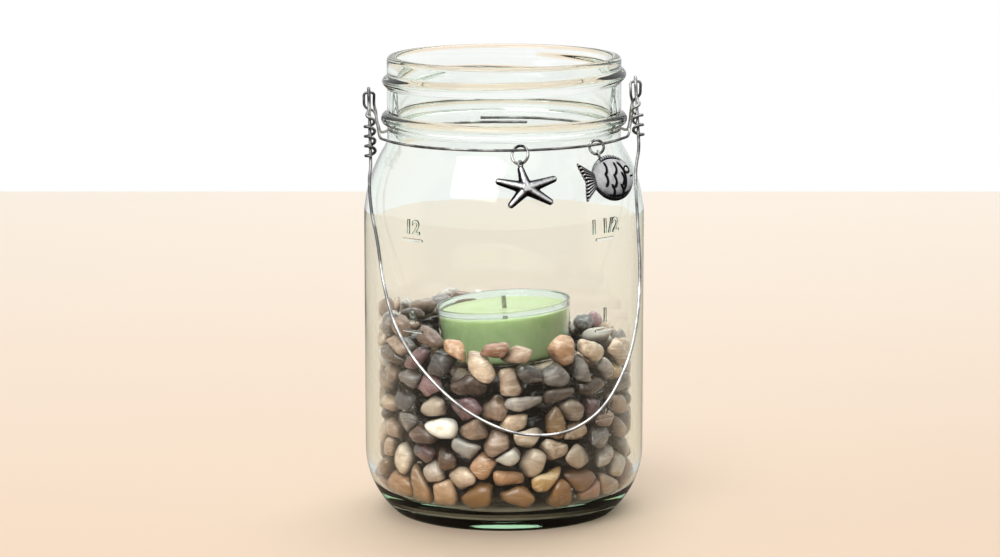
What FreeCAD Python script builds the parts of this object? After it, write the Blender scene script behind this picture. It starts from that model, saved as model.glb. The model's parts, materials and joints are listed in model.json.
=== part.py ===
"""Mason jar lantern: a pint jar on a bed of pebbles, with a tealight, a wire handle and two charms.

Millimetres, +Z up. The origin is the centre of the foot ring, on the table. The front, where the charms
hang and the handle rests, faces -Y.
"""
import FreeCAD, Part
import Sketcher
import math
import os
import random

Vector = FreeCAD.Vector
UP = Vector(0, 0, 1)

SIZES = [
    ("jar_height", 130.0, "table to the top of the lip"),
    ("body_radius", 39.7, "outside of the straight body"),
    ("wall", 2.8, "glass of the body and shoulder"),
    ("foot_radius", 31.5, "outer edge of the ring that the jar stands on"),
    ("foot_width", 4.0, "width of that ring"),
    ("push_up", 1.5, "rise of the base inside the foot ring"),
    ("heel_height", 18.0, "height where the heel meets the straight body"),
    ("jar_floor", 4.0, "height of the floor inside"),
    ("inner_heel", 9.0, "round between floor and wall inside"),
    ("shoulder_drop", 46.0, "lip down to where the shoulder leaves the body"),
    ("shoulder_radius", 38.0, "outer bend of the shoulder"),
    ("neck_fillet", 6.0, "hollow bend from shoulder to neck"),
    ("neck_radius", 33.1, "outside of the neck"),
    ("mouth_radius", 30.2, "bore of the mouth"),
    ("lip_round", 1.3, "rounding of the lip"),
    ("bead_drop", 17.7, "lip down to the middle of the bead below the thread"),
    ("bead_width", 3.4, "height of the bead"),
    ("bead_swell", 1.7, "how far the bead stands out of the neck"),
    ("fit_gap", 0.3, "running gap between pieces that only lean on each other"),
    ("wire_sides", 8, "sides of the section of every wire and ring"),
    ("neck_wire", 0.8, "thickness of the wire round the neck"),
    ("neck_wire_play", 1.4, "gap between the neck and its wire"),
    ("neck_wire_drop", 22.4, "lip down to the wire round the neck"),
    ("lap_rise", 1.3, "step between the lapped ends of the neck wire"),
    ("lap_angle", 24.0, "how far the ends of the neck wire lap, in degrees"),
    ("ear_angle", 22.0, "where the neck wire leaves the ring beside an eye, in degrees"),
    ("ear_rise_angle", 6.0, "where it turns up past the bead, in degrees"),
    ("ear_rise", 1.0, "rise of the neck wire up to there"),
    ("left_eye_reach", 3.4, "left eye out from the bead"),
    ("left_eye_drop", 10.6, "lip down to the top strand of the left eye"),
    ("right_eye_reach", 2.3, "right eye out from the bead"),
    ("right_eye_drop", 7.4, "lip down to the top strand of the right eye"),
    ("eye_root_reach", 1.4, "crossing of an eye's strands out from the bead"),
    ("eye_width", 2.8, "width of an eye between its strands"),
    ("eye_drop", 6.4, "top strand of an eye down to its crossing"),
    ("eye_strand", 1.0, "straight piece at the top of an eye"),
    ("eye_step", 1.85, "step between the two strands at the crossing"),
    ("handle_wire", 0.9, "thickness of the handle wire"),
    ("handle_inset", 2.0, "half width of the handle's bow inside the body's radius"),
    ("handle_drop", 102.0, "hinge line to the lowest point of the handle"),
    ("handle_loop", 1.7, "middle radius of the loops at its ends"),
    ("loop_length", 4.4, "hinge line to the throat of those loops"),
    ("loop_pinch", 1.56, "distance between the two wires at the throat"),
    ("wrap_start", 8.0, "hinge line to the first turn of the winding"),
    ("wrap_radius", 1.36, "middle radius of the winding round the leg"),
    ("wrap_pitch", 2.9, "rise of the winding for each turn"),
    ("left_turns", 4, "turns of the left winding"),
    ("right_turns", 3, "turns of the right winding"),
    ("ring_wire", 0.8, "thickness of the jump rings"),
    ("star_ring", 2.5, "middle radius of the starfish's jump ring"),
    ("fish_ring", 1.95, "middle radius of the fish's jump ring"),
    ("star_place", 7.0, "starfish's place on the neck wire, degrees right of the front"),
    ("fish_place", 46.5, "fish's place on the neck wire, degrees right of the front"),
    ("star_ring_turn", 55.0, "turn of the starfish's ring out of square with the neck wire"),
    ("fish_ring_turn", 50.0, "turn of the fish's ring out of square with the neck wire"),
    ("ring_play", 0.42, "gap between a jump ring and the wire that it hangs on"),
    ("eyelet_radius", 1.15, "middle radius of a charm's eyelet"),
    ("eyelet_wire", 0.6, "thickness of a charm's eyelet"),
    ("eyelet_play", 0.15, "gap between an eyelet and its ring"),
    ("star_root", 1.8, "radius of a starfish arm at its root"),
    ("star_tip", 0.95, "radius of a starfish arm at its tip"),
    ("star_heart", 2.2, "radius of the starfish's middle"),
    ("star_back", 1.0, "depth of the flat back behind the starfish's middle plane"),
    ("fish_length", 19.4, "snout to tail"),
    ("fish_height", 13.0, "back to belly"),
    ("fish_crown", 11.5, "end of the tail to the highest point of the back"),
    ("fish_nose", 6.8, "height of the snout above the belly line"),
    ("tail_length", 4.6, "length of the tail"),
    ("tail_root", 4.4, "height of the tail where it leaves the body"),
    ("tail_spread", 11.0, "height of the tail at its end"),
    ("tail_notch", 1.8, "depth of the fork"),
    ("fish_loop", 4.3, "eyelet in front of the root of the tail"),
    ("fish_thick", 2.4, "thickness of the fish"),
    ("fish_edge", 0.7, "bevel round the fish"),
    ("fish_turn", 3.0, "turn of the fish away from the glass, in degrees"),
    ("cup_radius", 19.0, "outside of the tealight cup at its rim"),
    ("cup_taper", 0.8, "how much smaller the cup is at its bottom"),
    ("cup_height", 16.0, "height of the tealight cup"),
    ("cup_wall", 0.6, "plastic of the cup"),
    ("cup_tilt", 4.3, "lean of the tealight to the left, in degrees"),
    ("cup_right", 1.0, "tealight right of the jar's middle"),
    ("cup_front", 4.0, "tealight in front of the jar's middle"),
    ("cup_seat", 46.0, "height that the bed leaves free for the tealight"),
    ("wax_play", 0.1, "shrinkage gap round the wax"),
    ("wax_level", 13.4, "top of the wax above the cup's bottom"),
    ("wick_radius", 0.7, "radius of the wick"),
    ("wick_rise", 4.0, "wick above the wax"),
    ("tin_radius", 6.0, "disc of the wick sustainer"),
    ("tin_thick", 0.4, "tin of the sustainer"),
    ("tin_tube", 4.0, "height of the sustainer's tube"),
    ("bed_height", 58.5, "top of the pebble bed in the middle"),
    ("bed_slope", 8.0, "fall of the bed to the right, in degrees"),
    ("pebble_length", 9.0, "long axis of a pebble"),
    ("pebble_width", 6.8, "middle axis of a pebble"),
    ("pebble_thick", 4.6, "short axis of a pebble"),
    ("core_scale", 1.8, "size of the pebbles out of sight to those at the glass"),
    ("core_depth", 5.5, "least depth of the pebbles out of sight under the top of the bed"),
    ("pebble_gap", 0.25, "room kept round each pebble as it is dropped"),
    ("pebble_rest", 0.15, "gap at which a pebble lies on the next one"),
]

# the freehand bend of the handle: share of its width from the left, share of its drop
HANDLE_BEND = [
    (-0.007, 0.26), (-0.002, 0.345), (0.014, 0.42), (0.039, 0.57), (0.079, 0.685), (0.159, 0.795),
    (0.302, 0.911), (0.463, 0.982), (0.609, 1.0), (0.72, 0.982), (0.825, 0.923), (0.911, 0.813),
    (0.955, 0.702), (0.978, 0.561), (0.98, 0.404), (0.982, 0.27),
]

# starfish arms: direction in degrees from the right, length in millimetres
STAR_ARMS = [(18, 8.1), (104, 5.6), (165, 7.9), (226, 6.4), (329, 7.5)]

# kinds of stone and how common each is in the bed
STONES = [
    ("pebbles_tan", 20), ("pebbles_beige", 17), ("pebbles_grey", 15), ("pebbles_brown", 14),
    ("pebbles_plum", 10), ("pebbles_slate", 9), ("pebbles_rust", 8), ("pebbles_white", 7),
    ("pebbles_amber", 6),
]

# the spread of a pebble's size, how far it tips off its bed and, in degrees, how it turns on it
STONE_SPREAD = (0.78, 1.18)
STONE_TILT = 0.35
STONE_TURN = 40
STONE_SIDES = (4, 5, 5)

# pouring the pebbles: tries at each drop and misses that end a zone
POUR = {"wall": (14, 5), "core": (10, 4), "top": (14, 12)}
POUR_LAYERS = 9
POUR_SEED = 11

# the eyes of the neck wire: share of the height at which they are widest, the slant of the strands where
# they cross, how far the outer strand is tucked in and laid over, and the slope of the wire beside them
EYE_WIDEST = 0.45
EYE_SLANT = 0.3
EYE_TUCK = 0.15
EYE_LAY = 0.2
EAR_SLOPE = 0.5

# places on the fish's back that may touch the glass: share of its length, share of its height
FISH_BACK = [(0, 0.15), (0, 0.85), (0.25, 0.5), (0.6, 0.0), (0.6, 1.0), (0.85, 0.2), (1.0, 0.4)]

doc = FreeCAD.newDocument("MasonJarLantern")
sheet = doc.addObject("Spreadsheet::Sheet", "Sizes")
for row, (alias, number, meaning) in enumerate(SIZES, start=1):
    sheet.set(f"A{row}", meaning)
    sheet.set(f"B{row}", str(number))
    sheet.setAlias(f"B{row}", alias)
doc.recompute()


# Sizes and formulas

def size(alias):
    return float(sheet.get(alias))


def value(formula):
    """The number that a formula of sizes stands for, such as 'body_radius - wall / 2'."""
    def number(word):
        return size(word) if word[0].isalpha() else float(word)

    words = formula.split()
    total, term = 0.0, number(words[0])
    for sign, word in zip(words[1::2], words[2::2]):
        if sign == "*":
            term *= number(word)
        elif sign == "/":
            term /= number(word)
        else:
            total += term
            term = number(word) if sign == "+" else -number(word)
    return total + term


def bind(thing, path, formula):
    words = [f"Sizes.{word}" if word[0].isalpha() else word for word in formula.split()]
    thing.setExpression(path, " ".join(words))


def turned(degrees):
    """Cosine and sine of an angle in degrees."""
    return math.cos(math.radians(degrees)), math.sin(math.radians(degrees))


# The jar's outline as plain geometry, for everything that leans on the glass or lies inside it

SHOULDER = "jar_height - shoulder_drop"
BEAD = "jar_height - bead_drop"


def shoulder_joint(offset, neck):
    """Where the shoulder's two bends meet, and where the hollow one reaches the neck.

    offset is how far inside the outer face the curve lies on the body, and neck its radius on the neck.
    """
    outer = size("shoulder_radius") - offset
    hollow = size("neck_fillet") + size("neck_radius") - neck
    centre = size("body_radius") - size("shoulder_radius")
    across = neck + hollow - centre
    rise = math.sqrt((outer + hollow) ** 2 - across ** 2)
    share = outer / (outer + hollow)
    joint = (centre + across * share, value(SHOULDER) + rise * share)
    return joint, value(SHOULDER) + rise


def glass_outside(height):
    """Outer radius of the glass at a height, with the bead as a plain band."""
    joint, neck_start = shoulder_joint(0.0, size("neck_radius"))
    bead = abs(height - value(BEAD)) < size("bead_width") / 2
    if height > neck_start:
        return size("neck_radius") + (size("bead_swell") if bead else 0.0)
    if height > joint[1]:
        fillet = size("neck_fillet")
        return size("neck_radius") + fillet - math.sqrt(fillet ** 2 - (neck_start - height) ** 2)
    if height > value(SHOULDER):
        bend = size("shoulder_radius")
        return size("body_radius") - bend + math.sqrt(bend ** 2 - (height - value(SHOULDER)) ** 2)
    return size("body_radius")


def floor_height(radius):
    """Height of the glass under a pebble at a radius inside the jar."""
    bend = size("inner_heel")
    out = radius - (value("body_radius - wall") - bend)
    if out <= 0:
        return size("jar_floor")
    return size("jar_floor") + bend - math.sqrt(max(0.0, bend ** 2 - out ** 2))


# Sketches

def own_plane(body, role):
    return next(plane for plane in body.Origin.OriginFeatures if plane.Role == role)


def bowed(start, end, radius, side):
    """Arc from start to end that bulges to its right (side 1) or left (side -1)."""
    chord = end - start
    half = chord.Length / 2
    rise = radius - math.sqrt(max(0.0, radius ** 2 - half ** 2))
    out = Vector(chord.y, -chord.x, 0).normalize() * side
    return Part.Arc(start, (start + end) * 0.5 + out * rise, end)


def outline(body, name, role, corners, bows, smooth, crests=()):
    """Closed sketch through corners, each a pair of formulas, or of a first guess where it is left free.

    bows gives the arcs as {corner where it starts: (radius, side, whether the radius is bound)}.
    smooth lists the corners where both neighbours share their direction, and crests those where both
    neighbours are arcs that run level there.
    """
    sketch = body.newObject("Sketcher::SketchObject", name)
    sketch.AttachmentSupport = (own_plane(body, role), [""])
    sketch.MapMode = "FlatFace"
    guesses = [[value(c) if isinstance(c, str) else c for c in corner] for corner in corners]
    points = [Vector(x, y, 0) for x, y in guesses]
    count = len(points)
    edges, ends = [], []
    for index, start in enumerate(points):
        end = points[(index + 1) % count]
        if index in bows:
            radius, side, _ = bows[index]
            curve = bowed(start, end, value(radius), side)
        else:
            curve = Part.LineSegment(start, end)
        edge = sketch.addGeometry(curve, False)
        flipped = (sketch.getPoint(edge, 1) - start).Length > (sketch.getPoint(edge, 2) - start).Length
        edges.append(edge)
        ends.append((2, 1) if flipped else (1, 2))
    for index in range(count):
        before = (index - 1) % count
        kind = "Tangent" if index in smooth else "Coincident"
        joint = (edges[before], ends[before][1], edges[index], ends[index][0])
        sketch.addConstraint(Sketcher.Constraint(kind, *joint))
    for index, corner in enumerate(corners):
        spot = (edges[index], ends[index][0])
        for word, axis, formula in (("DistanceX", -2, corner[0]), ("DistanceY", -1, corner[1])):
            if formula == "0":
                sketch.addConstraint(Sketcher.Constraint("PointOnObject", *spot, axis))
            elif isinstance(formula, str):
                datum = Sketcher.Constraint(word, -1, 1, *spot, value(formula))
                bind(sketch, f"Constraints[{sketch.addConstraint(datum)}]", formula)
    for index in crests:
        for edge, end in ((index - 1, 1), (index, 0)):
            upright = (edges[edge], 3, edges[edge], ends[edge][end])
            sketch.addConstraint(Sketcher.Constraint("Vertical", *upright))
    for index, (radius, _, is_bound) in bows.items():
        if is_bound:
            datum = Sketcher.Constraint("Radius", edges[index], value(radius))
            bind(sketch, f"Constraints[{sketch.addConstraint(datum)}]", radius)
    return sketch


def revolved(label, corners, bows=None, smooth=()):
    """Body turned about Z from a closed outline of (radius, height) corners."""
    body = doc.addObject("PartDesign::Body", label)
    sketch = outline(body, f"{label}_outline", "XZ_Plane", corners, bows or {}, smooth)
    turn = body.newObject("PartDesign::Revolution", f"{label}_turn")
    turn.Profile = sketch
    turn.ReferenceAxis = (sketch, ["V_Axis"])
    turn.Angle = 360
    return body


# Bent wire

def bend(start, start_way, end, end_way):
    """Two arcs, or one line, that leave start along start_way and reach end along end_way."""
    gap = end - start
    if gap.cross(start_way).Length < 1e-7 and gap.cross(end_way).Length < 1e-7:
        return [Part.LineSegment(start, end).toShape()]
    both = start_way + end_way
    square = 2 * start_way.dot(end_way) - 2
    if abs(square) < 1e-9:
        reach = gap.dot(gap) / (2 * gap.dot(both))
    else:
        reach = (gap.dot(both) - math.sqrt(gap.dot(both) ** 2 - square * gap.dot(gap))) / square
    first = start + start_way * reach
    second = end - end_way * reach
    middle = (first + second) * 0.5
    return [arc_by_corner(start, first, middle), arc_by_corner(middle, second, end)]


def arc_by_corner(start, corner, end):
    """Arc from start to end whose tangents meet at corner, or a line where the three are in line."""
    if (corner - start).cross(end - corner).Length < 1e-7:
        return Part.LineSegment(start, end).toShape()
    weight = (end - start).Length / 2 / (corner - start).Length
    through = ((start + end) * 0.5 + corner * weight) * (1 / (1 + weight))
    return Part.Arc(start, through, end).toShape()


def section_corners(thickness):
    """Corners of the many-sided section of a wire, from its middle."""
    sides = int(size("wire_sides"))
    turns = [turned(360 * (side + 0.5) / sides) for side in range(sides)]
    return [(cosine * thickness / 2, sine * thickness / 2) for cosine, sine in turns]


def wire_section(middle, way, thickness):
    """Section of a wire at the start of its route, and its area."""
    across = way.cross(UP if abs(way.z) < 0.9 else Vector(1, 0, 0)).normalize()
    other = way.cross(across)
    corners = [middle + across * x + other * y for x, y in section_corners(thickness)]
    section = Part.makePolygon(corners + corners[:1])
    return section, Part.Face(section).Area


def tube(label, route, thickness):
    """One unbroken wire along a route of (point, direction) pairs; prints its least gap to itself."""
    edges = []
    for (start, start_way), (end, end_way) in zip(route, route[1:]):
        edges += bend(start, start_way, end, end_way)
    path = Part.Wire(edges)
    section, area = wire_section(*route[0], thickness)
    sweep = Part.BRepOffsetAPI.MakePipeShell(path)
    sweep.add(section)
    sweep.build()
    sweep.makeSolid()
    solid = Part.Solid(sweep.shape())
    expected = area * path.Length
    least = least_gap(path, thickness)
    print(f"{label}: volume {solid.Volume:.2f} of {expected:.2f}, least gap to itself {least:.2f}")
    if abs(solid.Volume / expected - 1) > 0.02 or least < 0.4:
        raise ValueError(f"{label} runs into itself")
    feature = doc.addObject("Part::Feature", label)
    feature.Shape = solid
    return feature


def least_gap(path, thickness):
    """Least clear distance between stretches of a wire that lie over four thicknesses apart along it."""
    step = thickness / 3
    points = path.discretize(Distance=step)
    skip = int(4 * thickness / step)
    least = 1e9
    for index, point in enumerate(points):
        for other in points[index + skip:]:
            if abs(point.x - other.x) < 3 and abs(point.z - other.z) < 3:
                least = min(least, point.distanceToPoint(other))
    return least - thickness


# The glass jar

def make_jar():
    joint, neck_start = shoulder_joint(0.0, size("neck_radius"))
    inner_joint, inner_neck = shoulder_joint(size("wall"), size("mouth_radius"))
    corners = [
        ("0", "push_up"),
        ("foot_radius - foot_width - push_up", "push_up"),
        ("foot_radius - foot_width", "0"),
        ("foot_radius", "0"),
        ("body_radius", "heel_height"),
        ("body_radius", SHOULDER),
        joint,
        ("neck_radius", neck_start),
        ("neck_radius", f"{BEAD} - bead_width / 2"),
        ("neck_radius + bead_swell", BEAD),
        ("neck_radius", f"{BEAD} + bead_width / 2"),
        ("neck_radius", "jar_height - lip_round"),
        ("neck_radius - lip_round", "jar_height"),
        ("mouth_radius + lip_round", "jar_height"),
        ("mouth_radius", "jar_height - lip_round"),
        ("mouth_radius", inner_neck),
        inner_joint,
        ("body_radius - wall", SHOULDER),
        ("body_radius - wall", "jar_floor + inner_heel"),
        ("body_radius - wall - inner_heel", "jar_floor"),
        ("0", "jar_floor"),
    ]
    heel, body, shoulder, hollow, bead, bead_top, lip = 3, 4, 5, 6, 8, 9, 11
    inner_lip, inner_hollow, inner_shoulder, inner_heel = 13, 15, 16, 18
    swell = size("body_radius") - size("foot_radius")
    heel_bend = str(size("heel_height") ** 2 / 2 / swell + swell / 2)
    bead_bend = "bead_width * bead_width / 8 / bead_swell + bead_swell / 2"
    bows = {
        heel: (heel_bend, 1, False),
        shoulder: ("shoulder_radius", 1, True),
        hollow: ("neck_fillet", -1, True),
        bead: (bead_bend, 1, True),
        bead_top: (bead_bend, 1, True),
        lip: ("lip_round", 1, True),
        inner_lip: ("lip_round", 1, True),
        inner_hollow: ("neck_fillet + neck_radius - mouth_radius", 1, True),
        inner_shoulder: ("shoulder_radius - wall", -1, True),
        inner_heel: ("inner_heel", -1, True),
    }
    smooth = (body, shoulder, hollow, hollow + 1, inner_hollow, inner_shoulder, inner_shoulder + 1)
    return revolved("glass_jar", corners, bows, smooth)


# The neck wire and its eyes

NECK_RING = value("neck_radius + neck_wire_play + neck_wire / 2")
BEAD_EDGE = value("neck_radius + bead_swell")
LEFT_EYE = Vector(-BEAD_EDGE - size("left_eye_reach"), 0, value("jar_height - left_eye_drop"))
RIGHT_EYE = Vector(BEAD_EDGE + size("right_eye_reach"), 0, value("jar_height - right_eye_drop"))
HINGE = (RIGHT_EYE - LEFT_EYE).normalize()


def ring_point(degrees):
    """Place and direction of the neck wire, counted round the jar from the right, as seen from above."""
    front = 270
    cosine, sine = turned(degrees)
    rise = size("lap_rise") / 360
    height = value("jar_height - neck_wire_drop") + rise * (degrees - front)
    place = Vector(NECK_RING * cosine, NECK_RING * sine, height)
    way = Vector(-sine, cosine, rise * 180 / math.pi / NECK_RING)
    return place, way.normalize()


def ring_run(start, end, spans):
    """Stretch of the neck wire between two angles, in equal spans."""
    return [ring_point(start + (end - start) * step / spans) for step in range(spans + 1)]


def eye_route(top, out, along):
    """The wire up the inner strand of an eye, over its top and down the outer strand.

    out points away from the jar along the hinge, and along is the way that the wire travels past the eye.
    """
    half = size("eye_width") / 2
    step = along * (size("eye_step") / 2)
    level = Vector(out.x, 0, 0).normalize()
    crossing = level * value("neck_radius + bead_swell + eye_root_reach") + UP * (top.z - size("eye_drop"))
    widest = top - UP * (size("eye_drop") * EYE_WIDEST)
    strand = out * (size("eye_strand") / 2)
    return [
        (crossing - step, (UP + along * EYE_SLANT).normalize()),
        (widest - level * half - step, UP),
        (top - strand, out),
        (top + strand, out),
        (widest + level * half + step * EYE_LAY, -UP),
        (crossing + step, (along * EYE_SLANT - UP - level * EYE_TUCK).normalize()),
    ]


def ear_point(degrees, slope):
    """Where the neck wire starts to rise towards an eye, or has come down from it."""
    place, way = ring_point(degrees)
    cosine, sine = turned(degrees)
    beside_bead = value("neck_radius + bead_swell + neck_wire / 2 + fit_gap")
    place = Vector(beside_bead * cosine, beside_bead * sine, place.z + size("ear_rise"))
    return place, (way + UP * slope).normalize()


def make_neck_wire():
    back, left, right = 90, 180, 360
    ear, rise = size("ear_angle"), size("ear_rise_angle")
    lap = size("lap_angle") / 2
    slope = EAR_SLOPE
    route = ring_run(back - lap, left - ear, 2)
    route.append(ear_point(left - rise, slope))
    route += eye_route(LEFT_EYE, -HINGE, Vector(0, -1, 0))
    route.append(ear_point(left + rise, -slope))
    route += ring_run(left + ear, right - ear, 3)
    route.append(ear_point(right - rise, slope))
    route += eye_route(RIGHT_EYE, HINGE, Vector(0, 1, 0))
    route.append(ear_point(right + rise, -slope))
    route += ring_run(right + ear, right + back + lap, 2)
    return tube("neck_wire", route, size("neck_wire"))


# The handle

def handle_frame(lean):
    """Directions down the handle and through its plane, for a lean in degrees towards the front."""
    cosine, sine = turned(lean)
    plumb = Vector(HINGE.z, 0, -HINGE.x)
    down = plumb * cosine + Vector(0, -1, 0) * sine
    return down, HINGE.cross(down)


def handle_bend(down):
    """Points of the handle's bow between its windings."""
    middle = (LEFT_EYE + RIGHT_EYE) * 0.5
    half = value("body_radius - handle_inset")
    drop = size("handle_drop")
    places = []
    for across, along in HANDLE_BEND:
        places.append(middle + HINGE * ((2 * across - 1) * half) + down * (along * drop))
    return places


def handle_lean():
    """The least lean, in degrees, at which the handle rests against the glass with its running gap."""
    need = size("handle_wire") / 2 + size("fit_gap")
    steepest, flattest, step, probes = 5.0, 85.0, 0.25, 120
    for count in range(int((flattest - steepest) / step)):
        lean = steepest + count * step
        points = Part.makePolygon(handle_bend(handle_frame(lean)[0])).discretize(probes)
        if all(math.hypot(p.x, p.y) > glass_outside(p.z) + need for p in points):
            return lean
    raise ValueError("the handle doesn't clear the jar")


def handle_end(eye, inward, down, through, turns):
    """Route from the free end of a winding, up round the leg, through the eye and down the leg."""
    loop, pinch = size("handle_loop"), size("loop_pinch") / 2
    hang = loop - value("handle_wire / 2 + neck_wire / 2") - size("fit_gap")
    start, pitch, radius = size("wrap_start"), size("wrap_pitch"), size("wrap_radius")
    rise = pitch / (2 * math.pi * radius)
    route = []
    for quarter in range(int(4 * turns), -1, -1):
        cosine, sine = turned(90 * quarter - 90)
        place = eye + down * (start + pitch * quarter / 4) + (inward * cosine + through * sine) * radius
        way = inward * sine - through * cosine - down * rise
        route.append((place, way.normalize()))
    throat = size("loop_length")
    route += [
        (eye + down * throat - through * pinch, -down),
        (eye + down * hang - through * loop, -down),
        (eye + down * (hang - loop), through),
        (eye + down * hang + through * loop, down),
        (eye + down * throat + through * pinch, down),
        (eye + down * start, down),
        (eye + down * (start + pitch * (turns + 0.5)), down),
    ]
    return route


def make_handle(lean):
    down, through = handle_frame(lean)
    left = handle_end(LEFT_EYE, HINGE, down, through, size("left_turns"))
    right = handle_end(RIGHT_EYE, -HINGE, down, through, size("right_turns"))
    right = [(place, -way) for place, way in reversed(right)]
    points = [left[-1][0]] + handle_bend(down) + [right[0][0]]
    bow = [(here, (after - before).normalize())
           for before, here, after in zip(points, points[1:], points[2:])]
    return tube("handle_wire", left + bow + right, size("handle_wire"))


# Charms

class Hanging:
    """A charm on its jump ring, on the neck wire: every place and direction of one such chain."""

    def __init__(self, place, ring_radius, ring_turn, plate_turn, lean):
        self.wire, self.tangent = ring_point(270 + place)
        self.tangent = Vector(self.tangent.x, self.tangent.y, 0).normalize()
        outward = Vector(self.tangent.y, -self.tangent.x, 0)
        cosine, sine = turned(lean)
        self.down = outward * sine - UP * cosine
        self.out = outward * cosine + UP * sine
        cosine, sine = turned(ring_turn)
        self.ring_axis = self.out * sine - self.tangent * cosine
        thread = value("ring_wire / 2 + neck_wire / 2 + ring_play")
        self.ring_centre = self.wire + self.down * (ring_radius - thread)
        self.ring_foot = self.ring_centre + self.down * ring_radius
        self.ring_way = self.ring_axis.cross(self.down)
        hang = value("eyelet_radius - eyelet_wire / 2 - ring_wire / 2 - eyelet_play")
        self.eyelet = self.ring_foot + self.down * hang
        cosine, sine = turned(plate_turn)
        self.face = self.out * cosine - self.tangent * sine
        self.right = self.face.cross(self.down)

    def plate(self, x, y):
        """Placement of a charm whose eyelet is at (x, y) of its own sketch plane."""
        rotation = FreeCAD.Rotation(self.right, -self.down, self.face, "ZXY")
        return FreeCAD.Placement(self.eyelet - self.right * x + self.down * y, rotation)


def wire_ring(label, centre, axis, radius, thickness):
    """Closed ring of wire, its section turned about its axis."""
    corners = []
    for x, y in section_corners(1.0):
        sign, lift = ("+" if x > 0 else "-"), ("+" if y > 0 else "-")
        corners.append((f"{radius} {sign} {thickness} * {abs(x):.6f}",
                        f"{thickness} / 2 {lift} {thickness} * {abs(y):.6f}"))
    ring = revolved(label, corners)
    turn = FreeCAD.Rotation(UP, axis)
    ring.Placement = FreeCAD.Placement(centre - axis * (size(thickness) / 2), turn)
    return ring


def star_points():
    """Tips of the arms, and the eyelet's place beyond the top arm, in the starfish's own plane."""
    tips = []
    for direction, length in STAR_ARMS:
        cosine, sine = turned(direction)
        tips.append(Vector(length * cosine, length * sine, 0))
    top = max(tips, key=lambda tip: tip.y)
    return tips, top + Vector(0, size("eyelet_radius"), 0)


def resting(place, ring_radius, ring_turn, plate_turn, eyelet, touching):
    """The chain at the least lean at which the charm's back clears the glass."""
    lean = 0.0
    while lean < 80:
        chain = Hanging(place, ring_radius, ring_turn, plate_turn, lean)
        placement = chain.plate(eyelet.x, eyelet.y)
        places = [placement.multVec(point) for point in touching]
        if all(math.hypot(p.x, p.y) > glass_outside(p.z) + size("fit_gap") for p in places):
            return chain
        lean += 0.5
    raise ValueError("a charm doesn't clear the jar")


def make_starfish():
    tips, eyelet = star_points()
    back = Vector(0, 0, -size("star_back"))
    touching = [tip * share + back for tip in tips for share in (0.0, 0.5, 1.0)]
    chain = resting(size("star_place"), size("star_ring"), size("star_ring_turn"), 0.0, eyelet, touching)
    placement = chain.plate(eyelet.x, eyelet.y)
    pieces = []
    for index, tip in enumerate(tips):
        arm = doc.addObject("Part::Cone", f"star_arm_{index}")
        bind(arm, "Radius1", "star_root")
        bind(arm, "Radius2", "star_tip")
        arm.Height = tip.Length
        arm.Placement = placement * FreeCAD.Placement(Vector(), FreeCAD.Rotation(UP, tip))
        pieces.append(arm)
    heart = doc.addObject("Part::Sphere", "star_heart_ball")
    bind(heart, "Radius", "star_heart")
    heart.Placement = placement
    pieces.append(heart)
    pieces.append(wire_ring("star_eyelet", chain.eyelet, chain.ring_way, "eyelet_radius", "eyelet_wire"))
    whole = doc.addObject("Part::MultiFuse", "star_whole")
    whole.Shapes = pieces
    slab = doc.addObject("Part::Box", "star_back_cut")
    reach = 4 * max(tip.Length for tip in tips)
    slab.Length = slab.Width = reach
    slab.Height = reach
    below_eyelet = eyelet.y - value("eyelet_radius + eyelet_wire") - reach
    corner = Vector(-reach / 2, below_eyelet, -size("star_back") - reach)
    slab.Placement = placement * FreeCAD.Placement(corner, FreeCAD.Rotation())
    charm = doc.addObject("Part::Cut", "starfish_charm")
    charm.Base = whole
    charm.Tool = slab
    ring = wire_ring("starfish_ring", chain.ring_centre, chain.ring_axis, "star_ring", "ring_wire")
    return charm, ring, chain


def crest_bend(run, fall):
    """Radius of an arc that leaves a crest level and falls by one length over another."""
    return (run ** 2 + fall ** 2) / (2 * fall)


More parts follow.
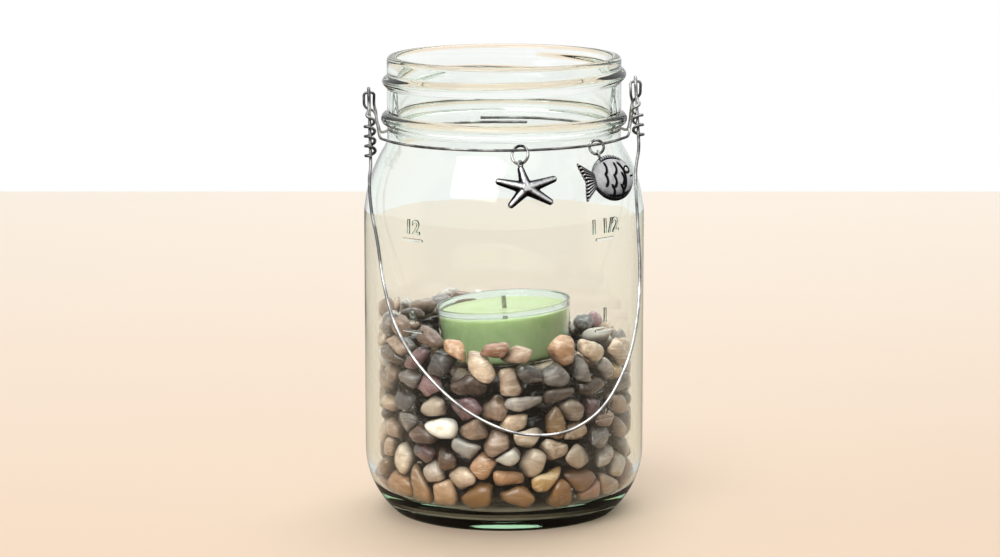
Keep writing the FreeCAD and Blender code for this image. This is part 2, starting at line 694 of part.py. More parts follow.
def make_fish():
    """A round-bodied fish seen from its side: the tail at the left, the eyelet on its back."""
    tail_run, nose_run = value("fish_crown - tail_length"), value("fish_length - fish_crown")
    tail_bend = crest_bend(tail_run, value("fish_height / 2 - tail_root / 2"))
    over_nose = crest_bend(nose_run, value("fish_height - fish_nose"))
    under_nose = crest_bend(nose_run, size("fish_nose"))
    off_crest = tail_run - size("fish_loop")
    fall = tail_bend - math.sqrt(tail_bend ** 2 - off_crest ** 2)
    over_back = value("fish_height + eyelet_radius - eyelet_wire / 2")
    eyelet = Vector(value("tail_length + fish_loop"), over_back - fall, 0)
    back = Vector(0, 0, -size("fish_thick") / 2)
    touching = [Vector(size("fish_length") * x, size("fish_height") * y, 0) + back for x, y in FISH_BACK]
    chain = resting(size("fish_place"), size("fish_ring"), size("fish_ring_turn"), size("fish_turn"),
                    eyelet, touching)
    body = doc.addObject("PartDesign::Body", "fish_plate")
    corners = [
        ("0", "fish_height / 2 - tail_spread / 2"),
        ("tail_length", "fish_height / 2 - tail_root / 2"),
        ("fish_crown", "0"),
        ("fish_length", "fish_nose"),
        ("fish_crown", "fish_height"),
        ("tail_length", "fish_height / 2 + tail_root / 2"),
        ("0", "fish_height / 2 + tail_spread / 2"),
        ("tail_notch", "fish_height / 2"),
    ]
    root, belly, nose, back_crest = 1, 2, 3, 4
    bends = {root: tail_bend, belly: under_nose, nose: over_nose, back_crest: tail_bend}
    bows = {corner: (str(radius), 1, False) for corner, radius in bends.items()}
    sketch = outline(body, "fish_outline", "XY_Plane", corners, bows, (), (belly, back_crest))
    pad = body.newObject("PartDesign::Pad", "fish_pad")
    pad.Profile = sketch
    bind(pad, "Length", "fish_thick")
    pad.Midplane = True
    doc.recompute()
    rims = [f"Edge{i}" for i, edge in enumerate(pad.Shape.Edges, start=1)
            if abs(edge.BoundBox.ZLength) < 1e-6]
    bevel = body.newObject("PartDesign::Chamfer", "fish_bevel")
    bevel.Base = (pad, rims)
    bind(bevel, "Size", "fish_edge")
    body.Placement = chain.plate(eyelet.x, eyelet.y)
    loop = wire_ring("fish_eyelet", chain.eyelet, chain.ring_way, "eyelet_radius", "eyelet_wire")
    charm = doc.addObject("Part::Fuse", "fish_charm")
    charm.Base = body
    charm.Tool = loop
    ring = wire_ring("fish_ring_link", chain.ring_centre, chain.ring_axis, "fish_ring", "ring_wire")
    ring.Label = "fish_ring"
    return charm, ring, chain


# The pebble bed

class Pebble:
    """A flattened egg: middle, half axes as directions, and half lengths."""

    def __init__(self, axes, halves):
        self.axes = axes
        self.halves = halves
        rows = [(0, 0), (0, 1), (1, 1), (0, 2), (1, 2), (2, 2)]
        self.form = {}
        for i, j in rows:
            self.form[i, j] = sum(axis[i] * axis[j] / half ** 2 for axis, half in zip(axes, halves))
        self.spread = {}
        for i, j in rows:
            self.spread[i, j] = sum(axis[i] * axis[j] * half ** 2 for axis, half in zip(axes, halves))

    def reach(self, way):
        """How far the pebble stretches from its middle along a level direction."""
        s = self.spread
        return math.sqrt(s[0, 0] * way.x ** 2 + 2 * s[0, 1] * way.x * way.y + s[1, 1] * way.y ** 2)

    def column(self, x, y):
        """Lowest and highest point of the pebble over a spot, from its middle; nothing outside it."""
        f = self.form
        slope = f[0, 2] * x + f[1, 2] * y
        rest = f[0, 0] * x * x + 2 * f[0, 1] * x * y + f[1, 1] * y * y - 1
        root = slope * slope - f[2, 2] * rest
        if root <= 0:
            return None
        root = math.sqrt(root)
        return (-slope - root) / f[2, 2], (-slope + root) / f[2, 2]

    def solid(self, middle, corners, dice):
        """Flat-faced stone inside the egg: a belt of corners with smaller copies above and below."""
        start = dice.uniform(0, 360)
        step = 360 / corners
        angles = [start + step * (i + dice.uniform(-0.22, 0.22)) for i in range(corners)]
        crown, foot = dice.uniform(0.5, 0.72), dice.uniform(0.5, 0.72)
        a, b, c = [axis * half for axis, half in zip(self.axes, self.halves)]
        belts = []
        for share, side in ((foot, -1), (1.0, 0), (crown, 1)):
            lift = c * (side * math.sqrt(1 - share ** 2))
            belt = []
            for angle in angles:
                cosine, sine = turned(angle)
                belt.append(middle + (a * cosine + b * sine) * share + lift)
            belts.append(belt)
        faces = [belts[0], belts[2]]
        for low, high in zip(belts, belts[1:]):
            faces += [[low[i - 1], low[i], high[i], high[i - 1]] for i in range(corners)]
        skin = [Part.Face(Part.makePolygon(face + face[:1])) for face in faces]
        stone = Part.makeSolid(Part.makeShell(skin))
        if stone.Volume < 0:
            stone.reverse()
        return stone


def box_gap(one, other):
    """Distance between two upright boxes."""
    across = max(one.XMin - other.XMax, other.XMin - one.XMax, 0)
    deep = max(one.YMin - other.YMax, other.YMin - one.YMax, 0)
    high = max(one.ZMin - other.ZMax, other.ZMin - one.ZMax, 0)
    return math.sqrt(across ** 2 + deep ** 2 + high ** 2)


class Bed:
    """Height map of the inside of the jar, on which pebbles are dropped one at a time."""

    CELL = 0.9
    SINKINGS = 24

    def __init__(self):
        self.inside = value("body_radius - wall") - size("fit_gap")
        self.count = int(2 * self.inside / self.CELL) + 1
        self.top = {}
        self.ceiling = {}
        self.stones = []
        self.boxes = []
        self.seat_slope = -turned(size("cup_tilt"))[1]
        self.cup = Vector(size("cup_right"), -size("cup_front"), 0)
        clear = size("cup_radius") + size("cup_height") * turned(size("cup_tilt"))[1] + size("fit_gap")
        fall = math.tan(math.radians(size("bed_slope")))
        for i in range(self.count):
            for j in range(self.count):
                x, y = self.spot(i), self.spot(j)
                radius = math.hypot(x, y)
                if radius > self.inside:
                    continue
                self.top[i, j] = floor_height(radius) + size("fit_gap")
                self.ceiling[i, j] = size("bed_height") - fall * x
                if math.hypot(x - self.cup.x, y - self.cup.y) < clear:
                    seat = size("cup_seat") - self.seat_slope * (x - self.cup.x)
                    self.ceiling[i, j] = min(self.ceiling[i, j], seat - size("pebble_gap"))

    def spot(self, index):
        return index * self.CELL - self.inside

    def cells(self, pebble, x, y):
        """Cells under a pebble whose middle is over (x, y), with its lowest and highest points there."""
        wide, deep = pebble.reach(Vector(1, 0, 0)), pebble.reach(Vector(0, 1, 0))
        first_i = int((x - wide + self.inside) / self.CELL)
        last_i = int((x + wide + self.inside) / self.CELL) + 1
        first_j = int((y - deep + self.inside) / self.CELL)
        last_j = int((y + deep + self.inside) / self.CELL) + 1
        found = []
        for i in range(first_i, last_i + 1):
            for j in range(first_j, last_j + 1):
                column = pebble.column(self.spot(i) - x, self.spot(j) - y)
                if column is None:
                    continue
                if (i, j) not in self.top:
                    return None
                found.append((i, j, *column))
        return found

    def drop(self, pebble, x, y, spare):
        """Height at which a pebble comes to rest over (x, y) and the cells it covers, if there is room."""
        found = self.cells(pebble, x, y)
        if not found:
            return None
        height = max(self.top[i, j] - low for i, j, low, _ in found)
        if any(height + high > self.ceiling[i, j] - spare for i, j, _, high in found):
            return None
        return height, found

    def glass_gap(self, stone):
        """Distance from a stone's corners to the glass round it and under it."""
        bend = size("inner_heel")
        heel_radius, heel_height = self.inside + size("fit_gap") - bend, size("jar_floor") + bend
        gaps = []
        for corner in stone.Vertexes:
            out, rise = math.hypot(corner.X, corner.Y) - heel_radius, heel_height - corner.Z
            if out > 0 and rise > 0:
                gaps.append(bend - math.hypot(out, rise))
            else:
                gaps.append(bend - max(out, rise))
        return min(gaps)

    def free_gap(self, stone, enough):
        """Distance from a stone to the bed and the glass; it isn't measured further once under enough."""
        box = stone.BoundBox
        gap = self.glass_gap(stone)
        apart = sorted((box_gap(box, other), index) for index, other in enumerate(self.boxes))
        for least, index in apart:
            if least > gap or gap < enough:
                break
            gap = min(gap, stone.distToShape(self.stones[index])[0])
        return gap

    def settle(self, stone, height, found):
        """Sinks a stone until it lies on, or against, what is there already, and adds it to the bed."""
        rest = size("pebble_rest")
        sunk = 0.0
        for _ in range(self.SINKINGS):
            gap = self.free_gap(stone, 3 * rest)
            if gap < 3 * rest:
                break
            stone.translate(UP * (rest - gap))
            sunk += gap - rest
        self.stones.append(stone)
        self.boxes.append(stone.BoundBox)
        for i, j, _, high in found:
            self.top[i, j] = max(self.top[i, j], height - sunk + high)

    def cup_height(self):
        """Height of the tealight's bottom, under its middle, where it comes to rest on the pebbles."""
        radius = size("cup_radius")
        lifts = []
        for stone in self.stones:
            for corner in stone.Vertexes:
                x, y = corner.X - self.cup.x, corner.Y - self.cup.y
                if math.hypot(x, y) < radius:
                    lifts.append(corner.Z + self.seat_slope * x)
        return max(lifts) + size("pebble_rest")


def random_pebble(dice, scale, short):
    """A pebble of uneven size whose short axis points about along a given direction."""
    halves = [size(name) / 2 * scale * dice.uniform(*STONE_SPREAD)
              for name in ("pebble_length", "pebble_width", "pebble_thick")]
    tilt = Vector(dice.uniform(-1, 1), dice.uniform(-1, 1), dice.uniform(-1, 1)) * STONE_TILT
    third = (short + tilt).normalize()
    level = third.cross(UP if abs(third.z) < 0.9 else Vector(1, 0, 0)).normalize()
    cosine, sine = turned(dice.gauss(0, STONE_TURN))
    first = level * cosine + third.cross(level) * sine
    return Pebble([first, third.cross(first), third], halves)


def pour_pebbles(bed, dice, zone, scale, spare):
    """Drops pebbles into one zone of the bed until it is full."""
    room = size("pebble_gap")
    tries, misses_allowed = POUR[zone]
    misses = 0
    while misses < misses_allowed:
        best = None
        for _ in range(tries):
            cosine, sine = turned(dice.uniform(0, 360))
            out = Vector(cosine, sine, 0)
            pebble = random_pebble(dice, scale, out if zone == "wall" else UP)
            swollen = Pebble(pebble.axes, [half + room for half in pebble.halves])
            radius = bed.inside - swollen.reach(out) - room
            if zone != "wall":
                radius = (radius - size("pebble_thick")) * math.sqrt(dice.random())
            spot = out * radius
            resting_place = bed.drop(swollen, spot.x, spot.y, spare)
            if resting_place and (best is None or resting_place[0] < best[0]):
                best = (*resting_place, pebble, spot)
        if best is None:
            misses += 1
            continue
        height, found, pebble, spot = best
        stone = pebble.solid(spot + UP * height, dice.choice(STONE_SIDES), dice)
        bed.settle(stone, height, found)


def make_pebbles():
    """Stones at the glass, stones out of sight and top stones, one node for each kind of stone."""
    dice = random.Random(POUR_SEED)
    bed = Bed()
    layer_height = value("bed_height - jar_floor") / POUR_LAYERS
    for layers_above in reversed(range(POUR_LAYERS)):
        spare = layers_above * layer_height
        pour_pebbles(bed, dice, "wall", 1.0, spare)
        pour_pebbles(bed, dice, "core", size("core_scale"), spare + size("core_depth"))
    pour_pebbles(bed, dice, "top", 1.0, 0.0)
    kinds = [kind for kind, _ in STONES]
    shares = [share for _, share in STONES]
    groups = {kind: [] for kind in kinds}
    for stone in bed.stones:
        groups[dice.choices(kinds, shares)[0]].append(stone)
    nodes = []
    for kind, stones in groups.items():
        feature = doc.addObject("Part::Feature", kind)
        feature.Shape = Part.Compound(stones)
        nodes.append(feature)
    print(f"pebbles: {len(bed.stones)}")
    return nodes, bed


# The tealight

def make_tealight(bed):
    cup = revolved("tealight_cup", [
        ("0", "0"),
        ("cup_radius - cup_taper", "0"),
        ("cup_radius", "cup_height"),
        ("cup_radius - cup_wall", "cup_height"),
        ("cup_radius - cup_taper - cup_wall", "cup_wall"),
        ("0", "cup_wall"),
    ])
    tin_top = "cup_wall + tin_thick"
    tube_radius = "wick_radius + wax_play + tin_thick"
    wax = revolved("candle_wax", [
        ("tin_radius + wax_play", "cup_wall"),
        ("cup_radius - cup_taper - cup_wall - wax_play", "cup_wall"),
        ("cup_radius - cup_wall - cup_taper / 4 - wax_play", "wax_level"),
        ("wick_radius + wax_play", "wax_level"),
        ("wick_radius + wax_play", f"{tin_top} + tin_tube + wax_play"),
        (f"{tube_radius} + wax_play", f"{tin_top} + tin_tube + wax_play"),
        (f"{tube_radius} + wax_play", f"{tin_top} + wax_play"),
        ("tin_radius + wax_play", f"{tin_top} + wax_play"),
    ])
    tin = revolved("wick_sustainer", [
        ("0", "cup_wall"),
        ("tin_radius", "cup_wall"),
        ("tin_radius", tin_top),
        (tube_radius, tin_top),
        (tube_radius, f"{tin_top} + tin_tube"),
        ("wick_radius + wax_play", f"{tin_top} + tin_tube"),
        ("wick_radius + wax_play", tin_top),
        ("0", tin_top),
    ])
    wick = doc.addObject("Part::Cylinder", "wick")
    bind(wick, "Radius", "wick_radius")
    bind(wick, "Height", "wax_level + wick_rise - cup_wall - tin_thick")
    seat = Vector(bed.cup.x, bed.cup.y, bed.cup_height())
    stand = FreeCAD.Placement(seat, FreeCAD.Rotation(Vector(0, 1, 0), -size("cup_tilt")))
    for piece in (cup, wax, tin):
        piece.Placement = stand
    wick.Placement = stand * FreeCAD.Placement(UP * value(tin_top), FreeCAD.Rotation())
    print(f"tealight seat: {seat.x:.3f} {seat.y:.3f} {seat.z:.3f}")
    return [cup, wax, wick, tin]


def tell(name, place, way):
    """Prints a joint's place in metres and its direction."""
    spot = ", ".join(f"{c / 1000:.6f}" for c in place)
    print(f"{name}: place [{spot}] axis [{way.x:.6f}, {way.y:.6f}, {way.z:.6f}]")


lean = handle_lean()
nodes = [make_jar(), make_neck_wire(), make_handle(lean)]
star, star_ring, star_chain = make_starfish()
fish, fish_ring, fish_chain = make_fish()
nodes += [star, star_ring, fish, fish_ring]
pebbles, bed = make_pebbles()
nodes += pebbles
nodes += make_tealight(bed)
doc.recompute()

print(f"handle lean {lean:.2f} degrees, so it swings {360 - 2 * lean:.2f} degrees")
tell("handle_swing", LEFT_EYE, -HINGE)
for name, chain in (("starfish", star_chain), ("fish", fish_chain)):
    tell(f"{name}_ring_swing", chain.wire, -chain.tangent)
    tell(f"{name}_swing", chain.ring_foot, -chain.ring_way)

for thing in doc.Objects:
    if "Invalid" in thing.State or "Error" in thing.State:
        raise ValueError(f"{thing.Label} failed: {thing.State}")
for node in nodes:
    if node.Shape.isNull() or not node.Shape.isValid():
        raise ValueError(f"{node.Label} has no valid shape")

os.makedirs("parts", exist_ok=True)
for node in nodes:
    node.Shape.exportStep(f"parts/{node.Label}.step")
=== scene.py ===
"""Looks of the mason jar lantern: glass, wire, charms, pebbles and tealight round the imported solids."""
import json
import math
import random

import bmesh
import bpy
import numpy as np
from mathutils import Matrix, Vector, noise


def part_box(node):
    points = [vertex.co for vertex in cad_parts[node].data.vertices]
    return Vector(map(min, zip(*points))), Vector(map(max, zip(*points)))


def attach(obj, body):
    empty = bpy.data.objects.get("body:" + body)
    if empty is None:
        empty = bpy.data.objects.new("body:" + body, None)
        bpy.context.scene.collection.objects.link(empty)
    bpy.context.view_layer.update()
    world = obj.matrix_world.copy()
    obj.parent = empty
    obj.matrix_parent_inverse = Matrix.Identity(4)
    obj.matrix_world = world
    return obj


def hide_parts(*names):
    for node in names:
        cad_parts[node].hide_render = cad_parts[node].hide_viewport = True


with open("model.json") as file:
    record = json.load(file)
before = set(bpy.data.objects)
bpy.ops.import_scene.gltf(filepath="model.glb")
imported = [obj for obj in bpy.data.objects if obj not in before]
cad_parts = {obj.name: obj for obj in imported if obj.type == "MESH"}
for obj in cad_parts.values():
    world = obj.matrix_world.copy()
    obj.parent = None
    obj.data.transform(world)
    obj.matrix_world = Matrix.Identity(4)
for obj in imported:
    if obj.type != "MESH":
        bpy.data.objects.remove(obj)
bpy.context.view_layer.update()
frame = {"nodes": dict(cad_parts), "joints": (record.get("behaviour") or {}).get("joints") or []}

MM = 0.001
SCENE = bpy.context.scene
JOINTS = {joint["name"]: joint for joint in frame["joints"]}

# the glass, in millimetres
JAR_HEIGHT, BODY_RADIUS, WALL = 130.0, 39.7, 2.8
FOOT_RADIUS, FOOT_WIDTH, PUSH_UP, HEEL_HEIGHT = 31.5, 4.0, 1.5, 18.0
JAR_FLOOR, INNER_HEEL = 4.0, 9.0
SHOULDER_START, SHOULDER_RADIUS, NECK_FILLET = 84.0, 38.0, 6.0
NECK_RADIUS, MOUTH_RADIUS, LIP_ROUND = 33.1, 30.2, 1.3
BEAD_HEIGHT, BEAD_WIDTH, BEAD_SWELL = 112.3, 3.4, 1.7
THREAD_HEIGHT, THREAD_PITCH, THREAD_RISE, THREAD_HALF = 123.8, 4.2, 1.4, 1.9
THREAD_ENDS, THREAD_FADE = (-205.0, 165.0), 40.0
GLASS_WAVE, GLASS_SEGMENTS, CUP_SEGMENTS = 0.16, 192, 128

# the charms, in millimetres
EYELET_RADIUS, EYELET_WIRE, RING_WIRE, EYELET_PLAY, EYELET_SHINE = 1.15, 0.6, 0.8, 0.15, 0.62
STAR_ARMS = [(18, 8.1), (104, 5.6), (165, 7.9), (226, 6.4), (329, 7.5)]
STAR_ROOT, STAR_TIP, STAR_BACK, STAR_OVERLAP, STAR_VOXEL = 2.016, 0.95, 1.0, 1.2, 0.17
FISH_LENGTH, FISH_HEIGHT, FISH_NOSE, FISH_CROWN = 19.4, 13.0, 6.8, 11.5
TAIL_LENGTH, TAIL_ROOT, TAIL_SPREAD, TAIL_NOTCH = 4.6, 4.4, 11.0, 1.8
FISH_LOOP, FISH_THICK, FISH_TURN = 4.3, 2.4, 3.0

# the tealight, in millimetres
CUP_RADIUS, CUP_TAPER, CUP_HEIGHT, CUP_WALL, CUP_TILT = 19.0, 0.8, 16.0, 0.6, 4.3
CUP_FOOT, CUP_ROUND, CUP_DISH = CUP_RADIUS - CUP_TAPER, 1.2, 0.15
WAX_LEVEL, WAX_PLAY, WICK_RISE, TIN_THICK = 13.4, 0.1, 4.0, 0.4
WICK_STRANDS, WICK_TURNS, LAY_RADIUS, STRAND_RADIUS = 3, 7.0, 0.36, 0.33


# Meshes

def shown(name, data):
    piece = bpy.data.objects.new(name, data)
    SCENE.collection.objects.link(piece)
    return piece


def smoothed(mesh):
    mesh.polygons.foreach_set("use_smooth", [True] * len(mesh.polygons))
    return mesh


def mesh_of(corners, faces):
    mesh = bpy.data.meshes.new("plain")
    mesh.from_pydata([tuple(corner) for corner in corners], [], faces)
    return smoothed(mesh)


def finished(name, mesh, finish):
    """A mesh shown as a piece with one finish."""
    mesh.materials.clear()
    mesh.materials.append(finish.material)
    return shown(name, mesh)


def worked_out(piece):
    """The plain mesh of a piece with its modifiers worked in; the piece itself goes."""
    graph = bpy.context.evaluated_depsgraph_get()
    mesh = bpy.data.meshes.new_from_object(piece.evaluated_get(graph))
    bpy.data.objects.remove(piece)
    return mesh


def note(mesh, name, numbers):
    """Keeps one number for each corner of a mesh under a name that a finish can read."""
    layer = mesh.attributes.new(name, "FLOAT", "POINT")
    layer.data.foreach_set("value", np.asarray(numbers, np.float32))


def opened(*meshes):
    """One mesh to work on, made of several."""
    work = bmesh.new()
    for mesh in meshes:
        work.from_mesh(mesh)
    return work


def welded(mesh, distance):
    """A mesh to work on, its corners within a distance in millimetres joined and its faces outward."""
    work = opened(mesh)
    bmesh.ops.remove_doubles(work, verts=work.verts, dist=distance * MM)
    bmesh.ops.recalc_face_normals(work, faces=work.faces)
    return work


def closed(work):
    """A plain mesh of one that was worked on."""
    mesh = bpy.data.meshes.new("worked")
    work.to_mesh(mesh)
    work.free()
    return mesh


def corner_table(mesh):
    return np.array([corner.co for corner in mesh.vertices])


def unit_rows(table):
    return table / np.linalg.norm(table, axis=1)[:, None]


def bearing(degrees):
    return math.cos(math.radians(degrees)), math.sin(math.radians(degrees))


def arc(centre, radius, start, end, steps):
    """Points of an arc in the (radius, height) plane, angles in degrees."""
    turns = [bearing(degrees) for degrees in np.linspace(start, end, steps + 1)]
    return [(centre[0] + radius * cosine, centre[1] + radius * sine) for cosine, sine in turns]


def groove(distance, half_width):
    """1 in the middle of a groove or ridge, falling softly to 0 at its edges."""
    return np.clip(1 - (distance / half_width) ** 2, 0, 1)


def tube_faces(rings, around):
    """Faces of a tube whose corners are listed ring by ring, the last ring joined to the first."""
    here = np.arange(rings * around).reshape(rings, around)
    after, beside = np.roll(here, -1, 0), np.roll(here, -1, 1)
    return np.stack([here, after, np.roll(after, -1, 1), beside], -1).reshape(-1, 4).tolist()


def turned_shell(profile, segments, place=Matrix.Identity(4), shaping=None):
    """Closed mesh of a profile of (radius, height) in millimetres that starts and ends on the axis.

    shaping changes the radii of one ring, given its number, its radius, its height and all its turns.
    """
    turns = np.linspace(0, 2 * math.pi, segments, endpoint=False)
    rings = profile[1:-1]
    corners = [(0, 0, profile[0][1])]
    for number, (radius, height) in enumerate(rings):
        radii = np.full(segments, radius)
        if shaping:
            radii = shaping(number, radius, height, turns)
        corners += list(zip(radii * np.cos(turns), radii * np.sin(turns), np.full(segments, height)))
    corners.append((0, 0, profile[-1][1]))
    last, top = len(corners) - 1, len(corners) - 1 - segments
    faces = [(1 + a, 1 + d, 1 + c, 1 + b) for a, b, c, d in tube_faces(len(rings), segments)[:-segments]]
    for j in range(segments):
        k = (j + 1) % segments
        faces += [(0, 1 + k, 1 + j), (top + j, top + k, last)]
    return mesh_of([place @ (Vector(corner) * MM) for corner in corners], faces)


# Finishes

class Nodes:
    """A node tree, and ways to add to it; a term is a plain value or another node's output."""

    def __init__(self, tree):
        self.tree = tree

    def give(self, socket, term):
        if isinstance(term, bpy.types.NodeSocket):
            self.tree.links.new(term, socket)
        else:
            socket.default_value = term

    def add(self, kind, **settings):
        node = self.tree.nodes.new(kind)
        for name, setting in settings.items():
            setattr(node, name, setting)
        return node

    def made(self, kind, **terms):
        """Outputs of a new node whose inputs are given by name."""
        node = self.tree.nodes.new(kind)
        for name, term in terms.items():
            self.give(node.inputs[name.replace("_", " ")], term)
        return node.outputs

    def sum(self, kind, one, other):
        node = self.add("ShaderNodeMath", operation=kind)
        self.give(node.inputs[0], one)
        self.give(node.inputs[1], other)
        return node.outputs[0]


class Finish(Nodes):
    """A node material that is built up on its main shader."""

    def __init__(self, name, **plain):
        self.material = bpy.data.materials.new(name)
        self.material.use_nodes = True
        super().__init__(self.material.node_tree)
        self.shader = self.tree.nodes["Principled BSDF"]
        self.place = self.made("ShaderNodeTexCoord")["Object"]
        for socket, setting in plain.items():
            self.set(socket.replace("_", " "), setting)

    def set(self, socket, term):
        self.give(self.shader.inputs[socket], term)

    def put_out(self, socket, term):
        self.give(self.tree.nodes["Material Output"].inputs[socket], term)

    def stretched(self, scale, turn=(0, 0, 0)):
        return self.made("ShaderNodeMapping", Vector=self.place, Scale=scale, Rotation=turn)["Vector"]

    def clouds(self, scale, detail=4.0, roughness=0.55, distortion=0.0, along=None):
        return self.made("ShaderNodeTexNoise", Vector=along or self.place, Scale=scale, Detail=detail,
                         Roughness=roughness, Distortion=distortion)["Fac"]

    def kept(self, name):
        return self.add("ShaderNodeAttribute", attribute_name=name).outputs["Fac"]

    def along(self, axis):
        return self.made("ShaderNodeSeparateXYZ", Vector=self.place)[axis]

    def spread(self, source, low, high, start=0.0, end=1.0):
        return self.made("ShaderNodeMapRange", Value=source, From_Min=start, From_Max=end, To_Min=low,
                         To_Max=high)["Result"]

    def ramp(self, source, *stops):
        node = self.add("ShaderNodeValToRGB")
        elements = node.color_ramp.elements
        while len(elements) < len(stops):
            elements.new(0.5)
        for element, (position, colour) in zip(elements, stops):
            element.position = position
            element.color = (*colour, 1)
        self.give(node.inputs["Fac"], source)
        return node.outputs["Color"]

    def blend(self, share, one, other):
        """The first colour with a share of the other over it; a plain colour is three numbers."""
        node = self.add("ShaderNodeMix", data_type="RGBA")
        self.give(node.inputs[0], share)
        for socket, colour in ((node.inputs[6], one), (node.inputs[7], other)):
            self.give(socket, (*colour, 1) if isinstance(colour, tuple) else colour)
        return node.outputs[2]

    def relief(self, source, depth, strength):
        bumps = self.made("ShaderNodeBump", Height=source, Strength=strength, Distance=depth)
        self.set("Normal", bumps["Normal"])

    def let_lamps_through(self):
        mixer = self.add("ShaderNodeMixShader")
        self.give(mixer.inputs[0], self.made("ShaderNodeLightPath")["Is Shadow Ray"])
        self.give(mixer.inputs[1], self.shader.outputs[0])
        self.give(mixer.inputs[2], self.made("ShaderNodeBsdfTransparent")[0])
        self.put_out("Surface", mixer.outputs[0])

    def tint_through(self, colour, density):
        body = self.made("ShaderNodeVolumeAbsorption", Color=(*colour, 1), Density=density)
        self.put_out("Volume", body[0])


def pressed_glass():
    """Clear pressed glass with a faint sea-green body and a slow ripple."""
    glass = Finish("pressed_glass", Base_Color=(1, 1, 1, 1), Transmission_Weight=1.0, IOR=1.47)
    ripple = glass.clouds(42, 1.0, 0.4, 0.2, glass.stretched((1, 1, 0.4)))
    fine = glass.clouds(420, 2.0)
    glass.relief(glass.sum("ADD", ripple, glass.sum("MULTIPLY", fine, 0.03)), 0.0011, 0.09)
    glass.set("Roughness", glass.spread(fine, 0.0, 0.02))
    glass.tint_through((0.28, 0.82, 0.38), 15.0)
    glass.let_lamps_through()
    return glass


def clear_cup_plastic():
    plastic = Finish("clear_cup_plastic", Base_Color=(0.86, 0.93, 0.84, 1), Transmission_Weight=1.0,
                     IOR=1.46)
    plastic.set("Roughness", plastic.spread(plastic.clouds(260, 3.0), 0.01, 0.06))
    plastic.relief(plastic.clouds(90, 1.0), 0.0004, 0.2)
    plastic.let_lamps_through()
    return plastic


def bright_wire():
    """Plain galvanised wire: grey, drawn, in patches, with painted light: brighter and glossier low on the
    handle, darker and duller up at the neck.
    """
    wire = Finish("bright_wire", Metallic=1.0)
    # painted light: the wire lighter low on the handle and darker towards the neck
    painted_height_light = wire.spread(wire.along("Z"), 0.11, -0.11, 0.045, 0.085)
    patches_and_painted_light = wire.sum("ADD", wire.clouds(170, 3.0, 0.6), painted_height_light)
    wire.set("Base Color", wire.ramp(patches_and_painted_light, (0.3, (0.12, 0.12, 0.12)), (0.5, (0.42, 0.415, 0.41)),
                                     (0.7, (0.92, 0.91, 0.90))))
    wire.set("Roughness", wire.spread(patches_and_painted_light, 0.4, 0.18, 0.2, 0.8))
    wire.relief(wire.clouds(2600, 2.0), 0.00004, 0.5)
    return wire


def antique_silver(wear_and_painted_light=None):
    """Cast silver with dark patina left in the hollows; the argument names the kept number of the rubbed,
    raised places, which on the fish also holds painted light.
    """
    silver = Finish("antique_silver_relief" if wear_and_painted_light else "antique_silver_plain", Metallic=1.0)
    if wear_and_painted_light:
        stain = silver.clouds(650, 4.0, 0.6)
        share = silver.sum("ADD", silver.kept(wear_and_painted_light), silver.spread(stain, -0.16, 0.16))
    else:
        share = silver.spread(silver.clouds(330, 4.0, 0.65), 0.0, 1.0, 0.3, 0.7)
    silver.set("Base Color", silver.ramp(share, (0.15, (0.008, 0.008, 0.009)), (0.42, (0.07, 0.07, 0.075)),
                                         (0.64, (0.46, 0.46, 0.47)), (0.86, (0.93, 0.93, 0.94))))
    silver.set("Roughness", silver.spread(share, 0.5, 0.16))
    silver.relief(silver.clouds(1500, 3.0), 0.00008, 0.5)
    return silver


def green_wax():
    wax = Finish("green_wax", Subsurface_Weight=0.35, Subsurface_Scale=0.006,
                 Subsurface_Radius=(0.7, 1.0, 0.4))
    bloom = wax.clouds(120, 5.0, 0.6)
    wax.set("Base Color", wax.ramp(bloom, (0.3, (0.47, 0.57, 0.30)), (0.7, (0.60, 0.69, 0.42))))
    wax.set("Roughness", wax.spread(wax.clouds(900, 3.0), 0.36, 0.55))
    waves, pores = wax.clouds(70, 2.0), wax.clouds(1200, 2.0)
    wax.relief(wax.sum("ADD", waves, wax.sum("MULTIPLY", pores, 0.08)), 0.0006, 0.3)
    return wax


def waxed_cotton():
    cotton = Finish("waxed_cotton", Roughness=0.75)
    fibres = cotton.clouds(900, 4.0, 0.7, 0.0, cotton.stretched((1, 1, 0.25)))
    cotton.set("Base Color", cotton.ramp(fibres, (0.3, (0.16, 0.17, 0.13)), (0.7, (0.46, 0.47, 0.38))))
    cotton.relief(fibres, 0.0002, 0.6)
    return cotton


def stamped_tin():
    tin = Finish("stamped_tin", Metallic=1.0)
    grain = tin.clouds(500, 3.0, 0.6, 0.0, tin.stretched((1, 0.2, 1)))
    tin.set("Base Color", tin.ramp(grain, (0.3, (0.52, 0.52, 0.5)), (0.7, (0.72, 0.72, 0.7))))
    tin.set("Roughness", tin.spread(grain, 0.25, 0.42))
    return tin


# the rust stain, and the near-black colour painted as shade on stones deep in the bed
STAIN_COLOUR, GAP_SHADE_COLOUR = (0.54, 0.25, 0.06), (0.010, 0.008, 0.006)


